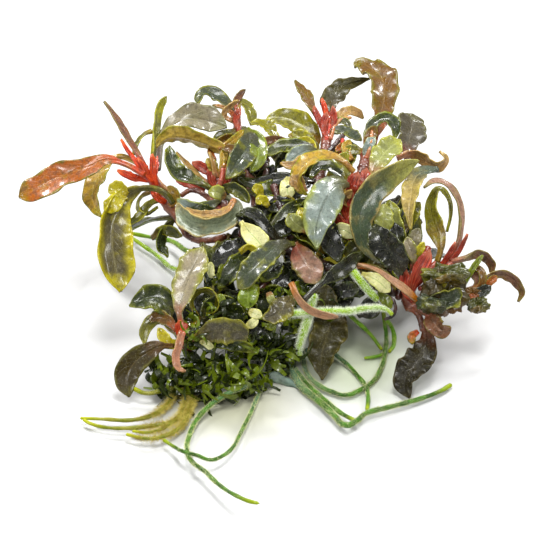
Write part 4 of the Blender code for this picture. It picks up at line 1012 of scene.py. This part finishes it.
# The low crown, at the front left: a pale leaf standing up and dark ones lying round it, on a red
# stem that runs back to the rhizome.
main_leaves("low", [
    (DUSTY, [(181, 324, 21.5), (179, 310, 21.5), (182, 297, 20.5), (188, 280, 18.5), (196, 262, 16),
     (203, 247, 14)], 5.8, -15, dict(stalk=0.12, widest=0.62)),
    (GREEN, [(172, 323, 18.3), (168, 309, 18.3), (158, 299, 18), (144, 301, 18), (129, 306, 18)], 5.6, 15,
     dict(stalk=0.12, blunt=2.0, widest=0.45)),
    (BRONZE, [(174, 346, 20.5), (160, 345, 21), (146, 352, 21.5), (135, 363, 21.5), (128, 379, 21.5),
     (129, 397, 22.3)], 5.0, (10, 5), dict(stalk=0.12, wave=0.06, ragged=0.4)),
    (DUSK, [(195, 337, 23), (209, 331, 25), (224, 330, 25.6), (238, 333, 25), (247, 340, 24.4)], 5.2, 20,
     dict(stalk=0.08)),
])
ROSY = leaf_finish("rosy_leaf", "#b84c30", "#a06c50", "#a87c50", "#b08468", "#b88c74", mottle=0.4)
young_leaves("low_young", [
    (ROSY, [(184, 328, 20), (182, 334, 23.5), (178, 347, 25), (175, 357, 26), (179, 369, 26.5),
     (186, 371, 26.5)], 1.7, -30, dict(ragged=0.4)),
    (GREEN, [(210, 331, 16), (206, 312, 16.5), (214, 303, 16.5), (240, 307, 16.5), (250, 313, 16.5)], 3.2,
     20),
    (KHAKI, [(184, 338, 20), (172, 328, 18), (160, 318, 16.5), (146, 330, 16.5), (144, 345, 17)], 2.6,
     20),
    (LIME, [(255, 293, 11.4), (252, 282, 15), (250, 294, 18), (250, 307, 19.5)], 3.4, (-20, 0)),
    (YELLOW, [(184, 340, 20), (170, 343, 20.6), (158, 328, 20)], 2.2, 10),
    (KHAKI, [(192, 344, 20), (199, 342, 22), (210, 334, 22.6), (217, 326, 22)], 2.0, 30),
    (GREEN, [(196, 346, 20), (212, 343, 21.6), (236, 344, 21.8), (256, 352, 21)], 2.6, 10),
    (KHAKI, [(206, 320, 16), (194, 312, 17), (192, 298, 17.4), (204, 289, 17.4), (216, 296, 17.4),
     (216, 310, 17.4), (206, 314, 17.4)], 2.0, (70, 60)),
    (KHAKI, [(198, 320, 18), (190, 328, 20), (188, 338, 20.6), (194, 346, 20.6)], 1.8, 40),
    (GREEN, [(214, 320, 15), (228, 312, 17), (246, 318, 18)], 4.4, 20),
    (BLACK, [(236, 318, 14), (256, 326, 17), (272, 338, 17.6)], 4.6, 10),
    (BLACK, [(200, 336, 17), (182, 314, 17.6), (166, 322, 17.6)], 3.6, 10),
    (GREEN, [(206, 326, 16), (226, 338, 20), (252, 348, 20)], 3.8, 0),
    (SCARLET, [(186, 342, 21.4), (179, 332, 23), (180, 320, 23)], 1.3, 0),
    (ROSY, [(188, 342, 21.6), (194, 338, 23), (199, 338, 23.4)], 1.3, 0),
    (BROWN, [(176, 330, 20), (166, 320, 19), (156, 316, 18), (150, 322, 18)], 2.6, 0),
])
stem_piece("low_stem", [
    (RED_STEM, [(184, 322, 20), (184, 342, 20), (198, 340, 17.5), (222, 322, 14.5), (248, 300, 12),
     (262, 284, 10.5), (274, 264, 9.8)], (1.0, 1.4, 1.3, 1.2)),
    (PINK_STALK, [(185, 340, 21), (183, 332, 22), (181, 322, 21.6)], (0.6, 0.5)),
    (PINK_STALK, [(186, 340, 21), (192, 340, 22), (198, 337, 22)], (0.6, 0.5)),
])

# The rhizome, a dark woody stem that creeps through the middle and carries every crown, and the
# leaves that grow from it toward the back.
stem_piece("rhizome", [
    (DARK_STEM, [(238, 232, 6.5), (262, 239, 7.3), (285, 249, 8), (305, 258, 8.8), (330, 268, 9.6),
     (360, 278, 10.3), (385, 288, 10.8), (398, 294, 11)], (1.2, 1.4, 1.0)),
])
OUT_OF_SIGHT = dict(drawn=False)
back_rows = [
    (GREEN, [(-0.9, 3.7, 18), (-3, 13, 16.5), (-5, 24, 10), (-6, 32, 3)], 4.6, 0, OUT_OF_SIGHT),
    (OLIVE, [(7.5, 0.3, 15.8), (8, 12, 14.5), (8, 25, 10), (9, 33, 4)], 4.8, 0, OUT_OF_SIGHT),
    (GREEN, [(18.3, -3.2, 13.4), (22, 8, 13), (25, 20, 9), (27, 29, 3)], 4.6, 0, OUT_OF_SIGHT),
    (BLACK, [(23, -4.7, 12.1), (29, 5, 11.5), (35, 13, 8), (39, 19, 3)], 4.4, 0, OUT_OF_SIGHT),
    (OLIVE, [(3.6, 2, 16.8), (4, 14, 18.5), (3, 26, 17), (1, 34, 12)], 4.2, 0, OUT_OF_SIGHT),
]
BACK_LEAF_COUNT = 34
rhizome_line = [(-5.6, 5.7, 20), (-1, 3.6, 18), (4, 1.6, 16.6), (9, 0, 15.4), (14, -2, 14.2),
                (19, -3.4, 13.2), (23, -4.7, 12.1)]
pick = random.Random(41)
for index in range(BACK_LEAF_COUNT):
    start = Vector(rhizome_line[index % len(rhizome_line)])
    heading = math.radians(pick.uniform(25, 155))
    reach = pick.uniform(7, 17)
    end = start + Vector((math.cos(heading) * reach, math.sin(heading) * reach + 3,
                          pick.uniform(-13, 1)))
    end.z = max(end.z, 2.0)
    lift = pick.uniform(1, 4)
    middle = start.lerp(end, 0.5) + Vector((0, 0, lift))
    back_rows.append((pick.choice([GREEN, OLIVE, BLACK, SLATE, KHAKI, GREEN]),
                      [tuple(start), tuple(middle), tuple(end)], pick.uniform(2.6, 4.6),
                      pick.uniform(-40, 40), OUT_OF_SIGHT))
young_leaves("back_leaves", back_rows)

# Roots. Each is a pale cord, lime to teal green inside a coat of fine short hairs, white where the
# coat is thick and tan on the oldest ones, with a bare yellow tip.


def root_finish(name, core, other, tip, tip_from=0.86, start=None):
    """A root's core in two cloudy greens, another colour where it starts and a bare tip."""
    finish = Finish(name)
    _, along, _ = finish.leaf_map()
    clouds = finish.clouds(500, 3)
    fibres = finish.clouds(2500, 2)
    colour = finish.mix(clouds.ramp(0.4, 0.6), paint(core), paint(other))
    colour = finish.mix(along.ramp(0.4, 0.12) * 0.7, colour, paint(start or other))
    colour = finish.mix(along.ramp(tip_from, 1.0), colour, paint(tip))
    return finish.wear(Base_Color=colour, Roughness=clouds.ramp(0.3, 0.7, 0.3, 0.5),
                       Normal=finish.bumps(fibres, 0.0001), Coat_Weight=0.1, Specular_IOR_Level=0.2)


def hair_finish(name, light, dark):
    """The dull, fine hairs that catch the light round a root."""
    finish = Finish(name)
    colour = finish.mix(finish.clouds(900, 2).ramp(0.35, 0.65), paint(light), paint(dark))
    return finish.wear(Base_Color=colour, Roughness=finish.clouds(600, 1).ramp(0, 1, 0.5, 0.7),
                       Specular_IOR_Level=0.15)


TEAL_ROOT = root_finish("teal_root", "#264e06", "#447414", "#8c9c04", tip_from=0.88, start="#6c8474")
LIME_ROOT = root_finish("lime_root", "#5a8c0c", "#7ca428", "#98a80c")
TAN_ROOT = root_finish("tan_root", "#66700a", "#868428", "#a8ac08", tip_from=0.8)
WHITE_CORE = root_finish("white_root_core", "#7ca000", "#94b800", "#90a800")
BLUE_ROOT = root_finish("blue_root", "#64786c", "#8c9c90", "#8aa090")
WHITE_HAIR = hair_finish("white_hair", "#fefff6", "#f2fadc")
PALE_HAIR = hair_finish("pale_green_hair", "#dce0a8", "#b0b874")
TEAL_HAIR = hair_finish("teal_hair", "#bcc6a8", "#92a480")
TAN_HAIR = hair_finish("tan_hair", "#d2c468", "#a8943c")
HAIR_WIDTH = 0.03
HAIR_LEAN_ALONG = 0.7
HAIR_LEAN_ASIDE = 0.4


def direct_mesh(name, spots, faces, finish):
    """A piece of many small shapes, straight from its points and faces."""
    mesh = bpy.data.meshes.new(name)
    mesh.from_pydata(spots, [], faces)
    mesh.materials.append(finish)
    return linked(name, mesh)


def hair_coat(chance, length, stations, radii, hairs):
    """Fine hairs standing out from a straight root that lies along X."""
    coat, per_mm, shortest, longest, ends_at = hairs
    count = int(length * per_mm)
    draws = np.random.default_rng(chance.randrange(10 ** 6))
    share = draws.uniform(0.015, ends_at, count)
    angle = draws.uniform(0, 2 * math.pi, count)
    fade = 1 - smooth_step(share, ends_at - 0.2, ends_at) * 0.8
    long = draws.uniform(shortest, longest, count) * fade
    radius = np.interp(share, stations, radii) * 0.9
    lean = np.stack([draws.uniform(-HAIR_LEAN_ALONG, HAIR_LEAN_ALONG, count),
                     draws.uniform(-HAIR_LEAN_ASIDE, HAIR_LEAN_ASIDE, count)], axis=1)
    out = np.stack([np.zeros(count), np.cos(angle), np.sin(angle)], axis=1)
    side = np.stack([np.zeros(count), -np.sin(angle), np.cos(angle)], axis=1)
    ahead = np.array([1.0, 0.0, 0.0])
    foot = np.stack([share * length, radius * out[:, 1], radius * out[:, 2]], axis=1)
    way = out + ahead * lean[:, :1] + side * lean[:, 1:]
    way /= np.linalg.norm(way, axis=1)[:, None]
    tip = foot + way * long[:, None]
    tip[:, 0] = np.clip(tip[:, 0], 0.05, length - 0.05)
    behind, beside = foot - ahead * HAIR_WIDTH / 2, side * HAIR_WIDTH
    corners = np.stack([foot + ahead * HAIR_WIDTH, behind + beside, behind - beside, tip], axis=1)
    start = np.arange(count)[:, None] * 4
    faces = np.concatenate([start + np.array(face) for face in
                            ((0, 2, 1), (0, 1, 3), (1, 2, 3), (2, 0, 3))])
    return direct_mesh("hairs", (corners.reshape(-1, 3) * MM).tolist(), faces.tolist(), coat)


def root_piece(node, strands):
    """A root with its branches and its coat of hairs, in place of its solid."""
    made = [strand(node + "_strand", finish, route, radii, hairs=hairs)
            for finish, route, radii, hairs in strands]
    in_place_of(joined(node + "_cord", made), node)


root_piece("front_left_root", [
    (TAN_ROOT, [(192, 372, 17.5), (178, 388, 19.5), (165, 407, 24.2), (150, 416, 26.8), (130, 420, 28),
     (105, 419, 27.7), (80, 418, 27.4)], (0.45, 0.4, 0.4, 0.3), (TAN_HAIR, 80, 0.4, 1.3, 0.66)),
    (TAN_ROOT, [(190, 376, 18), (192, 404, 23.6), (176, 420, 28), (150, 426, 29.6), (125, 428, 30.2),
     (104, 427, 29.8), (90, 423, 28.7), (83, 419, 27.6)], (0.45, 0.4, 0.4, 0.3),
     (TAN_HAIR, 80, 0.4, 1.3, 0.7)),
    (TAN_ROOT, [(191, 400, 22.6), (180, 427, 30), (161, 437, 32.8), (145, 438, 33.2), (126, 434, 32)],
     (0.45, 0.4, 0.3), (TAN_HAIR, 80, 0.4, 1.3, 0.97)),
    (TAN_ROOT, [(186, 384, 18.6), (184, 406, 24.6), (170, 424, 29.4), (150, 432, 31.4), (132, 431, 31)],
     (0.4, 0.35, 0.25), (TAN_HAIR, 80, 0.4, 1.3, 0.97)),
])
root_piece("long_root", [
    (TEAL_ROOT, [(266, 362, 13.5), (260, 374, 18.5), (247, 385, 22), (233, 391, 23.8), (220, 398, 24),
     (208, 407, 25.4), (197, 419, 27.8), (190, 434, 32), (187, 450, 36.6), (192, 461, 39.8),
     (205, 471, 42.8), (220, 485, 46.8), (238, 496, 50), (250, 501, 51.5), (260, 503, 52)],
     (0.55, 0.44, 0.38, 0.36), (PALE_HAIR, 75, 0.25, 0.45, 0.95)),
])
root_piece("crossing_root", [
    (TEAL_ROOT, [(268, 362, 14), (262, 385, 18.2), (256, 400, 22.2), (251, 412, 25.6), (245, 424, 29),
     (239, 436, 32.4), (233, 447, 35.5), (222, 456, 38), (210, 459.5, 39.2), (197, 455, 39.6),
     (186, 452, 39.4), (175, 447, 35.8), (163, 439, 33.4)], (0.34, 0.34, 0.34, 0.32),
     (PALE_HAIR, 60, 0.2, 0.4, 0.95)),
])
root_piece("right_root", [
    (TEAL_ROOT, [(277, 342, 10), (284, 358, 11.5), (293, 374, 15.2), (303, 388, 18.8), (320, 402, 22.8),
     (335, 416, 26.9), (346, 425, 29.5), (356, 421, 28.4), (366, 413, 26.1), (385, 408, 24.6),
     (408, 402, 22.9), (428, 396, 21.1), (442, 390, 19.4), (452, 384, 17.6)], (0.75, 0.58, 0.46, 0.42),
     (PALE_HAIR, 90, 0.25, 0.5, 0.96)),
    (TEAL_ROOT, [(283, 354, 11), (297, 372, 14.5), (309, 386, 18.2), (325, 400, 22.2), (341, 413, 26),
     (356, 421, 28.3)], (0.46, 0.4), (PALE_HAIR, 75, 0.25, 0.45, 0.98)),
])
root_piece("bowed_root", [
    (TEAL_ROOT, [(300, 340, 10), (303, 358, 11.4), (308, 375, 15.2), (320, 386, 18.4), (333, 392, 19.8),
     (345, 395, 20.7), (360, 390, 19.3), (372, 382, 17), (381, 368, 13.2), (385, 352, 9.2),
     (386, 335, 5.5), (384, 318, 6.5), (383, 305, 8)], (0.42, 0.4), (PALE_HAIR, 75, 0.25, 0.45, 0.98)),
])
root_piece("upper_white_root", [
    (WHITE_CORE, [(289, 314, 19.5), (304, 313, 17.6), (328, 311, 16.5), (350, 311, 16.3), (370, 308, 16),
     (385, 309, 15.5), (393, 315, 15)], (0.52, 0.55, 0.42), (WHITE_HAIR, 180, 0.35, 0.85, 0.99)),
])
root_piece("lower_white_root", [
    (WHITE_CORE, [(314, 293, 16.5), (311, 308, 16), (306, 325, 16.5), (301, 340, 16.5), (299, 350, 16),
     (301, 357, 15.6)], (0.6, 0.68, 0.56), (WHITE_HAIR, 240, 0.35, 0.9, 0.995)),
])
root_piece("back_left_root", [
    (LIME_ROOT, [(236, 243, 3), (215, 252, -2), (188, 251, -12), (168, 240, -21.5), (150, 237, -23.8),
     (125, 232, -25.2)], (0.4, 0.45, 0.4), (PALE_HAIR, 90, 0.1, 0.4, 0.9)),
    (WHITE_CORE, [(225, 247, 1), (198, 262, -5), (175, 269, -13.5), (155, 254, -19), (132, 238, -23.5)],
     (0.45, 0.4), (WHITE_HAIR, 120, 0.1, 0.4, 0.9)),
])
root_piece("back_right_root", [
    (LIME_ROOT, [(335, 262, 7), (345, 262, 2), (352, 255, -5), (358, 248, -12), (356, 243, -19),
     (345, 238, -23.6), (325, 236, -24.2), (305, 240, -23)], (0.55, 0.4), (PALE_HAIR, 90, 0.1, 0.4, 0.9)),
])
FINE_COAT = (PALE_HAIR, 70, 0.1, 0.3, 0.95)
fine_strands = []
for number, (finish, route, radii, hairs, *shape) in enumerate([
    (LIME_ROOT, [(340, 306, 10), (355, 320, 9), (370, 334, 7.6), (382, 350, 8.4)], (0.45, 0.35),
     FINE_COAT),
    (TEAL_ROOT, [(322, 340, 10), (335, 354, 10.5), (348, 365, 12.4), (358, 376, 15), (365, 385, 17.6),
     (368, 395, 20.5), (367, 410, 24.8)], (0.4, 0.4), FINE_COAT),
    (LIME_ROOT, [(384, 318, 6.5), (392, 328, 5), (394, 342, 5.5), (389, 352, 8.4)], (0.45, 0.4),
     FINE_COAT),
    (LIME_ROOT, [(384, 354, 9.2), (374, 357, 9.8), (364, 358, 10.2)], (0.4, 0.3), FINE_COAT),
    (WHITE_CORE, [(350, 267, 14), (358, 278, 14.6), (368, 290, 14.6), (378, 301, 13.6)], (0.75, 0.65),
     (WHITE_HAIR, 190, 0.25, 0.6, 0.98)),
    (TAN_ROOT, [(190, 372, 18), (178, 384, 20.4), (160, 391, 22), (145, 393, 22.6), (133, 388, 22)],
     (0.5, 0.4), FINE_COAT),
    (BLUE_ROOT, [(258, 366, 12), (268, 374, 14.6), (282, 380, 16), (300, 388, 17)], (1.1, 1.0, 0.7),
     (TEAL_HAIR, 90, 0.1, 0.35, 0.95), dict(lumps=0.15)),
    (TEAL_ROOT, [(306, 348, 12), (310, 358, 13), (318, 372, 15)], (0.4, 0.3), FINE_COAT),
], 1):
    made = strand(f"fine_{number}", finish, route, radii, hairs=hairs, **dict(*shape))
    fine_strands.append(made)
added(joined("fine_roots", fine_strands))

# The moss: a tuft of narrow, curling green ribbons that spring out in all directions under the low
# crown, with a smaller patch to its right and strays caught among the young leaves.
MOSS_DARK = leaf_finish("dark_moss", "#1c2602", "#242e02", "#4e5e02", "#323e02", "#202802", stalk_end=0.1,
                        mottle=0.2)
MOSS_BRIGHT = leaf_finish("bright_moss", "#5c6c02", "#7a8c02", "#a8ae10", "#86960a", "#5c6c02",
                          stalk_end=0.1, mottle=0.2)
RIBBON_STATIONS = 10
RIBBON_HALF_DEPTH = 0.05


def moss_ribbons(name, finish, seed, starts, width, reach, turn, rising):
    """Many thin ribbons as one mesh, each with its own curl. Starts are places in millimetres."""
    draws = np.random.default_rng(seed)
    spots, faces = [], []
    for start in starts:
        way = Vector(draws.normal(0, 1, 3))
        way.z = abs(way.z) * rising
        way.normalize()
        side = way.orthogonal().normalized()
        bend = draws.normal(0, turn, 2)
        step = draws.uniform(*reach) / RIBBON_STATIONS
        broad = draws.uniform(*width)
        place = Vector(start)
        first = len(spots)
        for station in range(RIBBON_STATIONS):
            share = station / (RIBBON_STATIONS - 1)
            half = broad / 2 * (0.4 + 0.6 * math.sin(math.pi * min(share + 0.12, 0.97)))
            half *= 1 + 0.08 * math.sin(station * 2.1 + seed)
            flat = way.cross(side).normalized() * RIBBON_HALF_DEPTH
            for corner in (side * half, flat, -side * half, -flat):
                spots.append(tuple((place + corner) * MM))
            place = place + way * step
            axis = side * bend[0] + way.cross(side) * bend[1] * 0.5
            way = (way + axis.cross(way) * 0.35).normalized()
            side = (side - way * side.dot(way)).normalized()
            if station:
                now, last = first + station * 4, first + station * 4 - 4
                for edge in range(4):
                    after = (edge + 1) % 4
                    faces.append((last + edge, last + after, now + after, now + edge))
        faces.append((first, first + 1, first + 2, first + 3))
        faces.append(tuple(first + RIBBON_STATIONS * 4 - corner for corner in (1, 2, 3, 4)))
    made = direct_mesh(name, spots, faces, finish)
    mark_upper(made.data, np.tile([1.0, 1.0, 1.0, 0.0], len(spots) // 4))
    use_only(made)
    face_outwards()
    bpy.ops.object.shade_smooth_by_angle(angle=math.radians(40))
    settle(made)
    return made


TUFT_PLACES = 520
TUFT_MIDDLE = np.array([-11.2, -16.4, 2.4])
TUFT_REACH = np.array([11.2, 4.2, 3.0])
PATCH_PLACES = 150
PATCH_MIDDLE = np.array([0.2, -9.6, 4.4])
PATCH_REACH = np.array([6.0, 3.6, 3.8])
scatter = np.random.default_rng(17)
directions = scatter.normal(0, 1, (TUFT_PLACES, 3))
directions /= np.linalg.norm(directions, axis=1)[:, None]
outward = scatter.uniform(0.2, 1.0, (TUFT_PLACES, 1)) ** 0.6
tuft_starts = TUFT_MIDDLE + directions * TUFT_REACH * outward
tuft_starts[:, 2] = np.abs(tuft_starts[:, 2])
outward = scatter.uniform(0.2, 1.0, (PATCH_PLACES, 1))
right_starts = PATCH_MIDDLE + directions[:PATCH_PLACES] * outward * PATCH_REACH
# The tuft grows from two runs of its places, because all of them would crowd it.
in_place_of(joined("moss_tuft", [
    moss_ribbons("moss_dark", MOSS_DARK, 3, tuft_starts[:200], (0.8, 1.6), (5, 10), 1.5, 0.3),
    moss_ribbons("moss_bright", MOSS_BRIGHT, 5, tuft_starts[230:440], (0.8, 1.5), (5, 11), 1.7, 0.4),
    moss_ribbons("moss_right", MOSS_DARK, 9, right_starts[:90], (0.8, 1.6), (4, 8), 1.5, 0.4),
    moss_ribbons("moss_right_bright", MOSS_BRIGHT, 10, right_starts[90:], (0.7, 1.4), (4, 8), 1.7, 0.4),
]), "moss")


def places_on(names, count, low, high):
    """Places on the surface of pieces already made, inside a box, in millimetres."""
    found = np.concatenate([places_of(bpy.data.objects[name].data) / MM for name in names])
    found = found[np.all((found > low) & (found < high), axis=1)]
    return found[scatter.integers(0, len(found), count)]


bright_places = places_on(["low_young", "front_young"], 170, (-16, -19, 2), (12, 0, 13))
dark_places = places_on(["low_young", "rhizome_bark", "front_young"], 160, (-16, -16, 2), (16, 2, 15))
added(joined("moss_strays", [
    moss_ribbons("strays_bright", MOSS_BRIGHT, 7, bright_places, (0.5, 1.0), (2, 5), 1.8, 1.0),
    moss_ribbons("strays_dark", MOSS_DARK, 8, dark_places, (0.5, 1.1), (2, 6), 1.3, 0.6),
]))

for blank in (fine_blank, small_blank, strand_blank):
    bpy.data.objects.remove(blank)

# The floor and the lights: a pale table with a painted green-tinged shade inside the loop of roots
# and a painted shadow under the moss, with soft light from above and a bright window behind.
bpy.ops.mesh.primitive_plane_add(size=3)
floor = bpy.context.object
floor.name = "floor"
pale = Finish("pale_floor_painted_shade")
# Painted shade on the floor: darker and green inside the loop of roots, darker and olive-grey under the
# moss.
painted_shade_in_root_loop, painted_shadow_under_moss = [
    pale.node("ShaderNodeVectorMath", {0: pale.place(), 1: middle}, operation="DISTANCE")[0]
    for middle in ((0.0162, -0.0075, 0), (-0.0075, -0.0195, 0))]
floor_with_painted_shade = pale.mix(painted_shade_in_root_loop.ramp(0.019, 0.004) * 0.55, (0.62, 0.62, 0.618, 1.0), paint("#aab884"))
floor_with_painted_shade = pale.mix(painted_shadow_under_moss.ramp(0.02, 0.003) * 0.8, floor_with_painted_shade, paint("#a0a080"))
floor.data.materials.append(pale.wear(Base_Color=floor_with_painted_shade, Roughness=0.35))

world = bpy.data.worlds.new("world")
world.use_nodes = True
sky = world.node_tree.nodes["Background"].inputs
sky["Color"].default_value = (1, 1, 1, 1)
sky["Strength"].default_value = 0.23
bpy.context.scene.world = world

CLUMP_MIDDLE = Vector((0, 0, 0.01))
for name, place, size, watts in (("window", (-0.22, 0.42, 0.46), 0.1, 2.4),
                                 ("second_window", (0.34, 0.36, 0.4), 0.08, 1.7),
                                 ("overhead", (0.04, 0.02, 0.7), 0.24, 4.0),
                                 ("left", (-0.5, -0.12, 0.36), 0.16, 1.1),
                                 ("right", (0.46, -0.2, 0.42), 0.16, 1.4),
                                 ("front", (-0.1, -0.5, 0.5), 0.1, 1.5)):
    lamp = bpy.data.lights.new(name, "AREA")
    lamp.size = size
    lamp.energy = watts
    made = linked(name, lamp)
    made.location = place
    made.rotation_euler = (CLUMP_MIDDLE - Vector(place)).to_track_quat("-Z", "Y").to_euler()
bpy.context.scene.view_settings.view_transform = "Standard"
